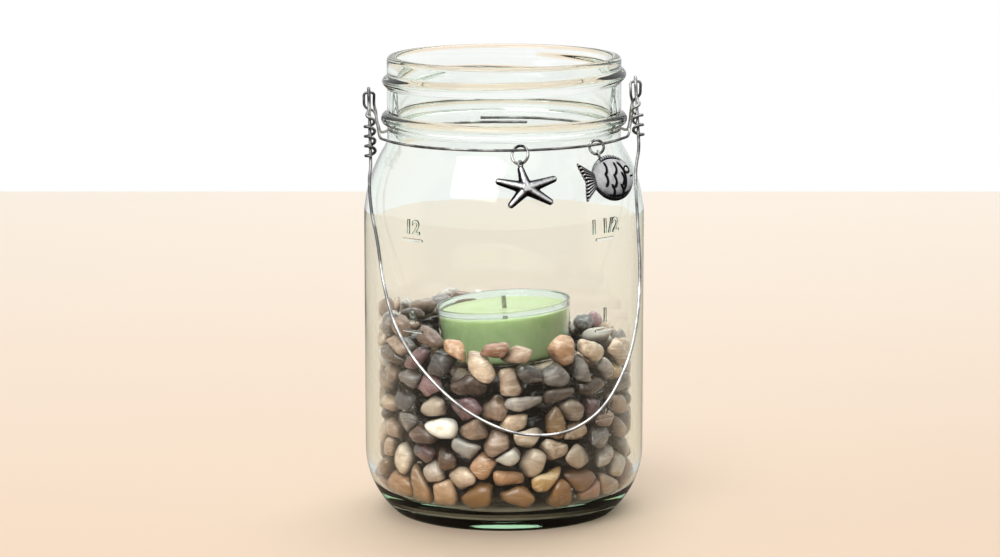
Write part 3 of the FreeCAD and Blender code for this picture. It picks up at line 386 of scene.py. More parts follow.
def river_stone(name, dark, light, band, speckle):
    """Tumbled pebble: two tones, soft bands, specks and a polish; every stone has its own tone.

    The lowest stones take a rust stain, and those deep in the bed are darkened with painted shade for the
    shadow between stones.
    """
    stone = Finish(name, Coat_Weight=0.6, Coat_Roughness=0.12)
    mottle = stone.clouds(230, 5.0, 0.6, 0.6)
    colour = stone.ramp(mottle, (0.36, dark), (0.64, light))
    veins = stone.clouds(110, 3.0, 0.5, 2.4, stone.stretched((1, 1, 2.6), (0.5, 0.3, 0.0)))
    colour = stone.blend(stone.spread(veins, 0.0, 0.85, 0.52, 0.66), colour, band)
    specks = stone.clouds(2100, 2.0, 0.7)
    colour = stone.blend(stone.spread(specks, 0.0, 0.6, 0.6, 0.78), colour, speckle)
    tone = stone.kept("tone")
    toned = stone.made("ShaderNodeHueSaturation", Color=colour, Value=stone.spread(tone, 0.26, 2.15),
                       Saturation=stone.spread(tone, 1.25, 1.0), Hue=stone.spread(tone, 0.488, 0.512))
    stain = stone.spread(stone.along("Z"), 0.85, 0.0, 0.005, 0.023)
    colour = stone.blend(stain, toned["Color"], STAIN_COLOUR)
    # painted shade: darker the deeper a place lies in the bed, for the shadow in the gaps between stones
    gap_shade = stone.spread(stone.kept("depth"), 0.0, 0.95, 0.9, 4.0)
    stone.set("Base Color", stone.blend(gap_shade, colour, GAP_SHADE_COLOUR))
    stone.set("Roughness", stone.spread(mottle, 0.14, 0.36))
    pits = stone.sum("ADD", stone.clouds(420, 4.0, 0.6), stone.sum("MULTIPLY", specks, 0.25))
    stone.relief(pits, 0.0005, 0.4)
    return stone


# the dark and the light tone, the bands and the specks of each kind of stone
STONE_LOOKS = {
    "tan": ((0.31, 0.205, 0.15), (0.51, 0.36, 0.275), (0.64, 0.50, 0.41), (0.19, 0.12, 0.09)),
    "beige": ((0.43, 0.33, 0.265), (0.60, 0.49, 0.41), (0.38, 0.26, 0.20), (0.27, 0.20, 0.16)),
    "grey": ((0.22, 0.185, 0.17), (0.40, 0.35, 0.325), (0.54, 0.47, 0.43), (0.12, 0.105, 0.095)),
    "brown": ((0.15, 0.095, 0.07), (0.30, 0.195, 0.145), (0.42, 0.29, 0.22), (0.08, 0.05, 0.04)),
    "plum": ((0.18, 0.095, 0.105), (0.35, 0.21, 0.215), (0.48, 0.35, 0.34), (0.09, 0.06, 0.06)),
    "slate": ((0.055, 0.047, 0.046), (0.16, 0.138, 0.132), (0.32, 0.28, 0.26), (0.03, 0.028, 0.027)),
    "rust": ((0.30, 0.145, 0.09), (0.50, 0.295, 0.195), (0.64, 0.48, 0.38), (0.16, 0.075, 0.05)),
    "white": ((0.56, 0.51, 0.46), (0.76, 0.71, 0.65), (0.58, 0.46, 0.37), (0.38, 0.34, 0.29)),
    "amber": ((0.37, 0.21, 0.10), (0.55, 0.36, 0.20), (0.68, 0.54, 0.38), (0.21, 0.12, 0.06)),
}


# The glass jar

def shoulder_joint(offset, neck):
    """Where the shoulder's two bends meet, and the height at which the hollow one reaches the neck."""
    outer, hollow = SHOULDER_RADIUS - offset, NECK_FILLET + NECK_RADIUS - neck
    centre = BODY_RADIUS - SHOULDER_RADIUS
    across = neck + hollow - centre
    rise = math.sqrt((outer + hollow) ** 2 - across ** 2)
    return math.degrees(math.atan2(rise, across)), SHOULDER_START + rise


def glass_outside(height):
    """Outer radius of the body and shoulder at a height."""
    if height <= SHOULDER_START:
        return BODY_RADIUS
    rise = height - SHOULDER_START
    return BODY_RADIUS - SHOULDER_RADIUS + math.sqrt(SHOULDER_RADIUS ** 2 - rise ** 2)


def thread_swell(height, turns):
    """How far the screw thread stands out of the neck at a height, for turns counted from the front."""
    swell = np.zeros_like(turns)
    first, last = np.radians(THREAD_ENDS)
    fade = math.radians(THREAD_FADE)
    for lap in (-2, -1, 0, 1):
        along = turns + 2 * math.pi * lap
        middle = THREAD_HEIGHT + THREAD_PITCH * along / (2 * math.pi)
        ridge = groove(height - middle, THREAD_HALF) ** 1.2
        ends = np.clip((along - first) / fade, 0, 1) * np.clip((last - along) / fade, 0, 1)
        swell = np.maximum(swell, THREAD_RISE * ridge * ends ** 0.5)
    return swell


def jar_profile():
    """The glass from the middle of its foot, up its outside, over the lip and down its inside."""
    swell = BODY_RADIUS - FOOT_RADIUS
    heel = HEEL_HEIGHT ** 2 / 2 / swell + swell / 2
    heel_start = -math.degrees(math.asin(HEEL_HEIGHT / heel))
    centre = BODY_RADIUS - SHOULDER_RADIUS
    meet, neck_start = shoulder_joint(0.0, NECK_RADIUS)
    inner_meet, inner_neck = shoulder_joint(WALL, MOUTH_RADIUS)
    hollow = NECK_FILLET + NECK_RADIUS - MOUTH_RADIUS
    bead_low, bead_high = BEAD_HEIGHT - BEAD_WIDTH / 2, BEAD_HEIGHT + BEAD_WIDTH / 2
    foot, lip = FOOT_RADIUS - FOOT_WIDTH, JAR_HEIGHT - LIP_ROUND
    points = [(0, PUSH_UP), (8, PUSH_UP), (17, PUSH_UP), (foot - PUSH_UP, PUSH_UP)]
    points += [(foot - 0.4, 0.25), (foot + 0.5, 0.0), (FOOT_RADIUS - 0.8, 0.0)]
    points += arc((BODY_RADIUS - heel, HEEL_HEIGHT), heel, heel_start, 0, 14)
    points += [(BODY_RADIUS, height) for height in np.linspace(HEEL_HEIGHT, SHOULDER_START, 16)[1:-1]]
    points += arc((centre, SHOULDER_START), SHOULDER_RADIUS, 0, meet, 18)
    points += arc((NECK_RADIUS + NECK_FILLET, neck_start), NECK_FILLET, 180 + meet, 180, 8)[1:]
    points += [(NECK_RADIUS, (neck_start + bead_low) / 2)]
    points += arc((NECK_RADIUS, BEAD_HEIGHT), BEAD_SWELL, -90, 90, 12)
    thread = [(NECK_RADIUS, height) for height in np.arange(bead_high + 0.4, lip, 0.35)]
    first_thread = len(points)
    points += thread
    points += arc((NECK_RADIUS - LIP_ROUND, lip), LIP_ROUND, 0, 90, 6)
    points += arc((MOUTH_RADIUS + LIP_ROUND, lip), LIP_ROUND, 90, 180, 6)
    first_inner = len(points)
    points += [(MOUTH_RADIUS, height) for height in np.linspace(lip, inner_neck, 8)[1:]]
    points += arc((NECK_RADIUS + NECK_FILLET, inner_neck), hollow, 180, 180 + inner_meet, 8)[1:]
    points += arc((centre, SHOULDER_START), SHOULDER_RADIUS - WALL, inner_meet, 0, 16)[1:]
    inner = BODY_RADIUS - WALL
    points += [(inner, height) for height in np.linspace(SHOULDER_START, JAR_FLOOR + INNER_HEEL, 16)[1:-1]]
    points += arc((inner - INNER_HEEL, JAR_FLOOR + INNER_HEEL), INNER_HEEL, 0, -90, 10)
    points += [(16, JAR_FLOOR), (8, JAR_FLOOR), (0, JAR_FLOOR)]
    return points, range(first_thread - 1, first_thread - 1 + len(thread)), first_inner - 1


def make_glass(finish):
    profile, threaded, first_inner = jar_profile()

    def shaping(number, radius, height, turns):
        if number in threaded:
            return radius + thread_swell(height, (turns + math.pi / 2 + math.pi) % (2 * math.pi) - math.pi)
        if number > first_inner and radius > MOUTH_RADIUS:
            slow = [noise.noise((2.2 * math.cos(t), 2.2 * math.sin(t), height * 0.035)) for t in turns]
            return radius + GLASS_WAVE * np.array(slow)
        return np.full_like(turns, radius)

    return finished("jar_glass", turned_shell(profile, GLASS_SEGMENTS, shaping=shaping), finish)


# Raised measure on the glass: plain numbers over short bars

MEASURE = [(-39.5, ("12", "8", "4")), (44.5, ("1 1/2", "1", "1/2"))]
MEASURE_HEIGHTS = (85.6, 60.6, 34.6)
NUMBER_SIZE, NUMBER_RISE, NUMBER_BEVEL, NUMBER_SWELL, NUMBER_SUNK = 5.4, 0.5, 0.14, 0.04, 0.12
BAR_DROP, BAR_STEP, BAR_LENGTH, BAR_WIDTH = 3.4, -25.5, 7.5, 0.9


def wrapped(mesh, turn, height):
    """Lays a flat mesh, in metres, on the outside of the glass at a turn from the front and a height."""
    for corner in mesh.vertices:
        across, up, rise = (c / MM for c in corner.co)
        radius = glass_outside(height + up) + rise - NUMBER_SUNK
        angle = math.radians(turn) + across / BODY_RADIUS
        corner.co = Vector((radius * math.sin(angle), -radius * math.cos(angle), height + up)) * MM
    return mesh


def raised_number(word):
    """A number as a flat bevelled mesh, its back in the plane."""
    text = bpy.data.curves.new("number", "FONT")
    text.body, text.size = word, NUMBER_SIZE * MM
    text.align_x, text.align_y = "CENTER", "CENTER"
    text.extrude, text.offset = NUMBER_RISE / 4 * MM, NUMBER_SWELL * MM
    text.bevel_depth, text.bevel_resolution = NUMBER_BEVEL * MM, 1
    mesh = closed(welded(worked_out(shown("number", text)), 0.001))
    mesh.transform(Matrix.Translation((0, 0, NUMBER_RISE / 2 * MM)))
    return mesh


class Growth(Nodes):
    """A Geometry Nodes tree with named inputs, which lays copies of one shape on points."""

    def __init__(self, name, finish, **settings):
        super().__init__(bpy.data.node_groups.new(name, "GeometryNodeTree"))
        interface = self.tree.interface
        for label, setting in (*settings.items(), ("Finish", finish.material)):
            kind = "NodeSocket" + {int: "Int", float: "Float"}.get(type(setting), "Material")
            socket = interface.new_socket(name=label.replace("_", " "), in_out="INPUT", socket_type=kind)
            socket.default_value = setting
        interface.new_socket(name="Geometry", in_out="OUTPUT", socket_type="NodeSocketGeometry")
        self.given = self.made("NodeGroupInput")

    def lay(self, points, shape, **more):
        """Ends the tree: a copy of the shape on every point, made real and given the finish."""
        copies = self.made("GeometryNodeInstanceOnPoints", Points=points, Instance=shape, **more)
        real = self.made("GeometryNodeRealizeInstances", Geometry=copies["Instances"])
        coated = self.made("GeometryNodeSetMaterial", Geometry=real["Geometry"],
                           Material=self.given["Finish"])
        self.made("NodeGroupOutput", Geometry=coated["Geometry"])

    def mesh(self):
        """The plain mesh that the tree makes."""
        piece = shown("growth", bpy.data.meshes.new("growth"))
        piece.modifiers.new("growth", "NODES").node_group = self.tree
        return worked_out(piece)


def bar_ladder(finish):
    """Short rounded bars, one under each row of the measure."""
    bars = Growth("bar_ladder", finish, Rows=len(MEASURE_HEIGHTS), Row_Step=BAR_STEP * MM,
                  Bar_Length=BAR_LENGTH * MM, Bar_Width=BAR_WIDTH * MM, Bar_Rise=NUMBER_RISE * MM)
    given = bars.given
    step = bars.made("ShaderNodeCombineXYZ", Y=given["Row Step"])
    rows = bars.made("GeometryNodeMeshLine", Count=given["Rows"], Offset=step[0])
    size = bars.made("ShaderNodeCombineXYZ", X=given["Bar Length"], Y=given["Bar Width"],
                     Z=given["Bar Rise"])
    block = bars.made("GeometryNodeMeshCube", Size=size[0], Vertices_X=6, Vertices_Y=3)
    rounded = bars.made("GeometryNodeSubdivisionSurface", Mesh=block["Mesh"], Level=1)
    lift = bars.made("ShaderNodeCombineXYZ", Z=bars.sum("MULTIPLY", given["Bar Rise"], 0.5))
    bar = bars.made("GeometryNodeTransform", Geometry=rounded["Mesh"], Translation=lift[0])
    bars.lay(rows["Mesh"], bar["Geometry"])
    return bars


def make_measure(finish):
    ladder = bar_ladder(finish)
    meshes = []
    for turn, words in MEASURE:
        for word, height in zip(words, MEASURE_HEIGHTS):
            meshes.append(wrapped(raised_number(word), turn, height))
        meshes.append(wrapped(ladder.mesh(), turn, MEASURE_HEIGHTS[0] - BAR_DROP))
    return finished("glass_measure", closed(opened(*meshes)), finish)


# Charms

class Hanging:
    """Where a charm hangs: its own right, up and face directions, and its eyelet."""

    def __init__(self, name, turn):
        upper, lower = JOINTS[f"{name}_ring_swing"], JOINTS[f"{name}_swing"]
        wire, foot = Vector(upper["pos_m"]), Vector(lower["pos_m"])
        self.down = (foot - wire).normalized()
        tangent = -Vector(upper["axis"])
        out = self.down.cross(tangent)
        cosine, sine = bearing(turn)
        self.face = out * cosine - tangent * sine
        self.right = self.face.cross(self.down)
        self.ring_way = -Vector(lower["axis"]).normalized()
        hang = EYELET_RADIUS - EYELET_WIRE / 2 - RING_WIRE / 2 - EYELET_PLAY
        self.eyelet = foot + self.down * (hang * MM)

    def plate(self, x, y):
        """Matrix for a charm, in metres, whose eyelet is at (x, y) millimetres of its own plane."""
        origin = self.eyelet - self.right * (x * MM) + self.down * (y * MM)
        columns = Matrix((self.right, -self.down, self.face)).transposed()
        return Matrix.Translation(origin) @ columns.to_4x4()

    def with_eyelet(self, name, charm, finish):
        """The piece made of a charm's mesh and the eyelet that it hangs by."""
        steps, round_steps = 40, 14
        side = self.ring_way.orthogonal().normalized()
        other = self.ring_way.cross(side)
        corners = []
        for angle in np.linspace(0, 360, steps, endpoint=False):
            out = side * bearing(angle)[0] + other * bearing(angle)[1]
            for turn in np.linspace(0, 360, round_steps, endpoint=False):
                across, lift = (EYELET_WIRE / 2 * share for share in bearing(turn))
                corners.append(self.eyelet + (out * (EYELET_RADIUS + across) + self.ring_way * lift) * MM)
        eyelet = mesh_of(corners, tube_faces(steps, round_steps))
        note(eyelet, "wear_and_painted_light", np.full(len(corners), EYELET_SHINE))
        return finished(name, closed(opened(charm, eyelet)), finish)


def fish_edges(x):
    """Belly and back of the fish's body, in millimetres, at distances from its tail."""
    def side(nose_gap):
        gap = np.where(x < FISH_CROWN, (FISH_HEIGHT - TAIL_ROOT) / 2, nose_gap)
        run = np.where(x < FISH_CROWN, FISH_CROWN - TAIL_LENGTH, FISH_LENGTH - FISH_CROWN)
        radius = (run ** 2 + gap ** 2) / (2 * gap)
        return radius - np.sqrt(np.maximum(0, radius ** 2 - (FISH_CROWN - x) ** 2))

    return side(FISH_NOSE), FISH_HEIGHT - side(FISH_HEIGHT - FISH_NOSE)


# the carving of the fish, in millimetres from the tip of its tail and from its belly
FISH_SCALES = [(7.6, 9.4), (11.2, 9.0), (6.9, 6.2), (10.0, 5.6), (13.2, 5.9), (8.4, 2.9), (11.8, 2.6)]
SCALE_RADIUS, LINE_HALF = 1.9, 0.5
GILL_MIDDLE, GILL_RADIUS = 11.0, 4.9
EYE_X, EYE_Y, EYE_RADIUS = 17.0, 8.0, 0.95
MOUTH_START, MOUTH_HALF = 17.6, 0.3
FIN_START, FIN_END, FIN_EDGE = 7.5, 16.0, 0.83


def fish_relief(x, y, share):
    """Depth of the carving at places on the side of the fish, from 0 to 1, and how raised it is."""
    cuts = []
    for middle_x, middle_y in FISH_SCALES:
        away = np.hypot(x - middle_x, (y - middle_y) * 0.92)
        angle = np.degrees(np.arctan2(y - middle_y, x - middle_x))
        arm = np.clip((72 - np.abs(angle + 12)) / 22, 0, 1)
        cuts.append(groove(away - SCALE_RADIUS, LINE_HALF * arm + 0.02) * arm)
    along, above = x - GILL_MIDDLE, y - FISH_HEIGHT / 2
    arm = np.clip((58 - np.abs(np.degrees(np.arctan2(above, along)))) / 15, 0, 1)
    cuts.append(groove(np.hypot(along, above) - GILL_RADIUS, LINE_HALF) * arm)
    eye = np.hypot(x - EYE_X, y - EYE_Y)
    cuts.append(groove(eye - EYE_RADIUS, 0.34))
    mouth = np.abs(y - FISH_NOSE + 0.5 + (FISH_LENGTH - x) * 0.18)
    cuts.append(groove(mouth, MOUTH_HALF) * (x > MOUTH_START))
    fin = np.clip((x - FIN_START) / 2, 0, 1) * np.clip((FIN_END - x) / 2, 0, 1)
    cuts.append(groove(np.abs(share) - FIN_EDGE, 0.045) * fin)
    rays = np.abs((x * 1.15) % 1.0 - 0.5)
    on_fin = (np.abs(share) > FIN_EDGE + 0.03) * (x > FIN_START) * (x < FIN_END)
    cuts.append(0.7 * groove(rays, 0.2) * on_fin)
    return np.max(cuts, 0), groove(eye, 0.6) * 0.35


def make_fish(finish):
    hanging = Hanging("fish", FISH_TURN)
    tail_columns, body_columns, rows = 30, 110, 96
    shares = np.linspace(-1, 1, rows)
    grid = []
    for number in range(tail_columns):
        along = number / tail_columns
        tip_x = TAIL_NOTCH * (1 - np.abs(shares))
        half = (TAIL_SPREAD + (TAIL_ROOT - TAIL_SPREAD) * along) / 2
        rays = np.cos(shares * 11 * math.pi) * np.clip(1.15 - along, 0, 1)
        thick = (0.72 + 0.2 * along + 0.16 * rays) * np.sqrt(np.clip(1 - np.abs(shares) ** 8, 0.12, 1))
        grid.append((tip_x + (TAIL_LENGTH - tip_x) * along, FISH_HEIGHT / 2 + shares * half, thick,
                     0.42 + 0.34 * rays))
    for number in range(body_columns + 1):
        along = 1 - (1 - number / body_columns) ** 1.25
        x = np.full(rows, TAIL_LENGTH + (FISH_LENGTH - 0.02 - TAIL_LENGTH) * along)
        belly, back = fish_edges(x)
        half = (back - belly) / 2
        y = (belly + back) / 2 + shares * half
        crown = 0.42 + (FISH_THICK / 2 - 0.42) * math.sin(math.pi * min(1, 0.12 + 0.8 * along)) ** 0.6
        thick = 0.3 + (crown - 0.3) * np.sqrt(np.clip(1 - shares ** 2, 0, 1)) ** 0.8
        thick = np.minimum(thick, 0.25 + half * 0.6)
        cut, raised = fish_relief(x, y, shares)
        # painted light: the upper body lighter, the lower body and the rims darker, as if lit from above
        shade = 0.4 * (y / FISH_HEIGHT - 0.5) - 0.35 * np.abs(shares) ** 4
        grid.append((x, y, thick * (1 - 0.16 * cut) + raised * 0.5 - 0.1 * cut,
                     0.74 + shade - 0.9 * cut + 0.2 * raised))
    x, y, z, wear_and_painted_light = np.array(grid).transpose(1, 0, 2).reshape(4, -1)
    front, back = np.stack([x, y, z], -1), np.stack([x, y, -np.minimum(z, FISH_THICK / 2)], -1)
    count = len(front)
    numbers = np.arange(count).reshape(-1, rows)
    low, high = numbers[:-1, :-1].ravel(), numbers[1:, :-1].ravel()
    faces = list(zip(low, high, high + 1, low + 1))
    faces += zip(count + low, count + low + 1, count + high + 1, count + high)
    for rim in (numbers[:, 0], numbers[-1]):
        faces += zip(rim, count + rim, count + rim[1:], rim[1:])
    for rim in (numbers[:, -1], numbers[0]):
        faces += zip(rim, rim[1:], count + rim[1:], count + rim)
    loop = TAIL_LENGTH + FISH_LOOP
    place = hanging.plate(loop, float(fish_edges(loop)[1]) + EYELET_RADIUS - EYELET_WIRE / 2)
    mesh = mesh_of([place @ (Vector(corner) * MM) for corner in (*front, *back)], faces)
    note(mesh, "wear_and_painted_light", np.tile(wear_and_painted_light, 2))
    return hanging.with_eyelet("fish_relief", mesh, finish)


def star_half(share):
    """Half the width of a starfish's arm at a share of its length."""
    return STAR_ROOT + (STAR_TIP - STAR_ROOT) * np.minimum(1, share) ** 0.75


def star_arm(direction, length):
    """One arm, fat at its root, with a soft ridge along its front and a flatter back."""
    cosine, sine = bearing(direction)
    rings, around = 17, 20
    corners = []
    for reach in np.linspace(-STAR_OVERLAP, length + STAR_TIP, rings):
        beyond = max(0.0, reach - length) / STAR_TIP
        half = star_half(max(0.0, reach) / length) * math.sqrt(max(0.02, 1 - beyond ** 2))
        for turn in np.linspace(0, 360, around, endpoint=False):
            across, lift = (half * share for share in bearing(turn))
            lift = lift * 1.05 if lift > 0 else max(lift, -STAR_BACK * 0.95)
            corners.append((reach * cosine - across * sine, reach * sine + across * cosine, lift))
    last = (rings - 1) * around
    faces = tube_faces(rings, around)[:last]
    faces += [range(around), range(last + around - 1, last - 1, -1)]
    return mesh_of([Vector(corner) * MM for corner in corners], faces)


def make_starfish(finish):
    hanging = Hanging("starfish", 0.0)
    arms = shown("starfish_arms", closed(opened(*(star_arm(*arm) for arm in STAR_ARMS))))
    melt = arms.modifiers.new("melt", "REMESH")
    melt.mode, melt.voxel_size = "VOXEL", STAR_VOXEL * MM
    soft = opened(worked_out(arms))
    every_way = {"use_axis_x": True, "use_axis_y": True, "use_axis_z": True}
    for _ in range(5):
        bmesh.ops.smooth_vert(soft, verts=soft.verts, factor=0.5, **every_way)
    mesh = smoothed(closed(soft))
    places = corner_table(mesh) / MM
    ridge = np.full(len(places), 9.0)
    tips = []
    for direction, length in STAR_ARMS:
        cosine, sine = bearing(direction)
        tips.append((length * sine, length * cosine))
        along = places[:, 0] * cosine + places[:, 1] * sine
        across = np.abs(places[:, 1] * cosine - places[:, 0] * sine)
        off_ridge = across / star_half(np.maximum(along / length, 0))
        ridge = np.minimum(ridge, np.where(along > -0.4, off_ridge, 9.0))
    bumps = np.array([noise.noise(Vector(place) * 1.6) for place in places])
    wear_and_painted_light = 0.9 - 1.15 * np.clip(ridge, 0, 1.1) ** 1.2 + 0.1 * bumps - 0.25 * (places[:, 2] < -0.3)
    note(mesh, "wear_and_painted_light", wear_and_painted_light)
    tip_y, tip_x = max(tips)
    mesh.transform(hanging.plate(tip_x, tip_y + EYELET_RADIUS))
    return hanging.with_eyelet("starfish_relief", mesh, finish)


# The pebble bed

# how far stones grow on top of the bed, in it and out of sight, and the depths that part them
OPEN_GROWTH, PACKED_GROWTH, HIDDEN_GROWTH = 1.45, 1.5, 1.7
OPEN_DEPTH, HIDDEN_DEPTH, BOTTOM_LAYER = 5.0, 8.0, 15.0

# sharpness of the edges, height of the bumps and their number in a millimetre, and slimming of one end
STONE_EDGE, STONE_ROUGH, STONE_BUMPS, STONE_TAPER = 10.0, 0.6, 0.3, 0.2

# gaps left between stones and to the glass, size of the cells for the bed's top, sides of the cup's solid
STONE_PLAY, GLASS_PLAY, BED_CELL, CUP_SIDES = 0.04, 0.25, 6.0, 24

# inside of the glass as the stones meet it, in metres: its radius, the heel's and where the heel begins
INNER_RADIUS, HEEL_RADIUS = (BODY_RADIUS - WALL - GLASS_PLAY) * MM, (INNER_HEEL - GLASS_PLAY) * MM
HEEL_BEND, HEEL_TOP = INNER_RADIUS - HEEL_RADIUS, (JAR_FLOOR + INNER_HEEL) * MM


class Convex:
    """A convex solid: its corners, the directions of its sides, the middle of its box and its reach."""

    def __init__(self, corners, ways):
        self.corners, self.ways = corners, ways
        self.middle = (corners.min(0) + corners.max(0)) / 2
        self.reach = np.linalg.norm(corners - self.middle, axis=1).max()

    def near(self, other):
        return math.dist(self.middle, other.middle) < HIDDEN_GROWTH * (self.reach + other.reach)

    def parting(self, other):
        """The direction in which another solid is farthest off, and how far the middle of the gap is."""
        straight = other.middle - self.middle
        ways = np.vstack([self.ways, -other.ways, straight / np.linalg.norm(straight)])
        start = (self.corners @ ways.T).max(0)
        end = (other.corners @ ways.T).min(0)
        best = np.argmax(end - start)
        return ways[best], (start[best] + end[best]) / 2 - self.middle @ ways[best] - STONE_PLAY * MM


def separate_stones(kind):
    """The plain stones of one kind, as convex solids."""
    solids = welded(frame["nodes"][f"pebbles_{kind}"].data, 0.004)
    bmesh.ops.dissolve_limit(solids, angle_limit=math.radians(1.5), verts=solids.verts, edges=solids.edges)
    stones, seen = [], set()
    for start in solids.faces:
        if start in seen:
            continue
        seen.add(start)
        stone = [start]
        for face in stone:
            for beside in (other for edge in face.edges for other in edge.link_faces):
                if beside not in seen:
                    seen.add(beside)
                    stone.append(beside)
        corners = {corner.index: corner.co for face in stone for corner in face.verts}
        stones.append(Convex(np.array(list(corners.values())), np.array([face.normal for face in stone])))
    solids.free()
    return stones


def cup_solid(stand):
    """The tealight's cup as a convex solid."""
    turns = np.linspace(0, 2 * math.pi, CUP_SIDES, endpoint=False)
    turning = stand.to_3x3()
    ways = [turning @ Vector((math.cos(turn), math.sin(turn), 0)) for turn in turns]
    ways.append(turning @ Vector((0, 0, -1)))
    return Convex(corner_table(frame["nodes"]["tealight_cup"].data), np.array(ways))


def glass_limits(middle):
    """Sides that keep a grown stone inside the glass: the wall, the floor and the round heel."""
    radius = math.hypot(middle[0], middle[1])
    out, up = np.array([middle[0], middle[1], 0]) / radius, np.array([0, 0, 1.0])
    limits = [(out, INNER_RADIUS - radius), (-up, middle[2] - HEEL_TOP + HEEL_RADIUS)]
    if radius > HEEL_BEND and middle[2] < HEEL_TOP:
        away = out * (radius - HEEL_BEND) + up * (middle[2] - HEEL_TOP)
        distance = np.linalg.norm(away)
        limits.append((away / distance, HEEL_RADIUS - distance))
    return limits


def inside_glass(places):
    """Places on a stone, those beyond the inside of the glass brought back to it."""
    radius = np.hypot(places[:, 0], places[:, 1])
    beyond, below = np.maximum(radius - HEEL_BEND, 0), np.minimum(places[:, 2] - HEEL_TOP, 0)
    back = np.minimum(1, HEEL_RADIUS / np.maximum(np.hypot(beyond, below), HEEL_RADIUS * 0.01))
    share = (np.minimum(radius, HEEL_BEND) + beyond * back) / np.maximum(radius, MM)
    height = np.maximum(places[:, 2], HEEL_TOP) + below * back
    return np.stack([places[:, 0] * share, places[:, 1] * share, height], -1)


def tumbled(stone, growth, limits, directions, taper):
    """Places on a tumbled stone: its sides grown out to the limits, all edges rounded and one end slimmer.
    """
    own = stone.corners - stone.middle
    ways = np.vstack([stone.ways] + [way for way, _ in limits])
    depths = np.append((own @ stone.ways.T).max(0) * growth, [depth for _, depth in limits])
    axes = np.linalg.eigh(own.T @ own)[1]
    axes[:, 0] *= np.linalg.det(axes)
    halves = np.abs(own @ axes).max(0)
    reach = unit_rows(directions * halves @ axes.T)
    nearness = np.clip(reach @ ways.T / depths, 0, None)
    shape = reach / ((nearness ** STONE_EDGE).sum(1) ** (1 / STONE_EDGE))[:, None] @ axes
    shape[:, :2] *= 1 - abs(taper) + taper * np.clip(shape[:, 2:] / halves[2], -1, 1)
    return stone.middle + shape @ axes.T


def bed_cell(place):
    return round(place[0] / MM / BED_CELL), round(place[1] / MM / BED_CELL)


class Bed:
    """All the plain stones of the bed, and how high they lie."""

    def __init__(self, stand):
        self.kinds = {kind: separate_stones(kind) for kind in STONE_LOOKS}
        self.solids = [stone for stones in self.kinds.values() for stone in stones] + [cup_solid(stand)]
        self.tops = {}
        for stone in self.solids[:-1]:
            for corner in stone.corners:
                self.tops[bed_cell(corner)] = max(self.tops.get(bed_cell(corner), 0.0), corner[2])

    def limits(self, stone):
        """Sides that keep a grown stone clear of the stones round it, the tealight and the glass."""
        near = [other for other in self.solids if other is not stone and other.near(stone)]
        return [stone.parting(other) for other in near] + glass_limits(stone.middle)

    def under_top(self, place):
        """How far a place lies under the highest stone there, in millimetres."""
        return (self.tops.get(bed_cell(place), place[2]) - place[2]) / MM

    def growth(self, stone):
        """How far a stone may grow: least on top of the bed, most out of sight and at the bottom."""
        if self.depth(stone.middle) > HIDDEN_DEPTH or stone.middle[2] < BOTTOM_LAYER * MM:
            return HIDDEN_GROWTH
        return PACKED_GROWTH if self.under_top(stone.middle) > OPEN_DEPTH else OPEN_GROWTH

    def depth(self, place):
        """How deep a place lies in the bed, in millimetres, behind the glass or under the top stones."""
        behind_glass = BODY_RADIUS - WALL - math.hypot(place[0], place[1]) / MM
        return max(0.0, min(behind_glass, self.under_top(place)))


def make_stones(kind, finish, seed, bed):
    """The tumbled stones of one kind, each grown out of its plain solid until it meets its neighbours."""
    dice = random.Random(seed)
    ball = bmesh.new()
    bmesh.ops.create_icosphere(ball, subdivisions=3, radius=1.0)
    directions = np.array([corner.co.normalized() for corner in ball.verts])
    ball_faces = [[corner.index for corner in face.verts] for face in ball.faces]
    ball.free()
    corners, faces, tones = [], [], []
    for stone in bed.kinds[kind]:
        first, tone = len(corners), dice.random()
        drift = np.array([dice.uniform(-50, 50) for _ in range(3)])
        taper = dice.uniform(-STONE_TAPER, STONE_TAPER)
        places = tumbled(stone, bed.growth(stone), bed.limits(stone), directions, taper)
        out = places - stone.middle
        bumps = np.array([noise.noise(place / MM * STONE_BUMPS + drift) for place in out])
        corners += list(inside_glass(places + unit_rows(out) * (bumps * STONE_ROUGH * MM)[:, None]))
        faces += [[first + corner for corner in face] for face in ball_faces]
        tones += [tone] * len(directions)
    mesh = mesh_of(corners, faces)
    note(mesh, "tone", tones)
    note(mesh, "depth", [bed.depth(corner) for corner in corners])
    return finished(f"stones_{kind}", mesh, finish)


# The tealight

def tealight_stand():
    """Where the tealight stands: the middle of its bottom, leaning to the left."""
    low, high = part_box("tealight_cup")
    across, rise = (CUP_FOOT * MM * share for share in bearing(CUP_TILT))
    seat = Vector((high.x - across, (low.y + high.y) / 2, low.z + rise))
    return Matrix.Translation(seat) @ Matrix.Rotation(-math.radians(CUP_TILT), 4, "Y")


def make_cup(stand, finish):
    """The cup from the middle of its bottom, up its outside, over the rim and down its inside."""
    corner, half, slope = CUP_FOOT - CUP_ROUND, CUP_WALL / 2, CUP_TAPER / CUP_HEIGHT
    points = [(0, CUP_DISH), (9, CUP_DISH), (corner - 1.5, 0.12), (corner, 0.0)]
    points += arc((corner, CUP_ROUND), CUP_ROUND, -90, 0, 6)[1:]
    points += [(CUP_FOOT + slope * h, h) for h in np.linspace(3, CUP_HEIGHT - half, 6)]
    points += arc((CUP_RADIUS - half, CUP_HEIGHT - half), half, 0, 180, 8)
    points += [(CUP_FOOT - CUP_WALL + slope * h, h) for h in np.linspace(CUP_HEIGHT - 1.5, 3, 6)]
    points += arc((corner, CUP_ROUND), CUP_ROUND - CUP_WALL, 0, -90, 5)
    points += [(9, CUP_WALL), (0, CUP_WALL)]
    return finished("tealight_clear_cup", turned_shell(points, CUP_SEGMENTS, stand), finish)


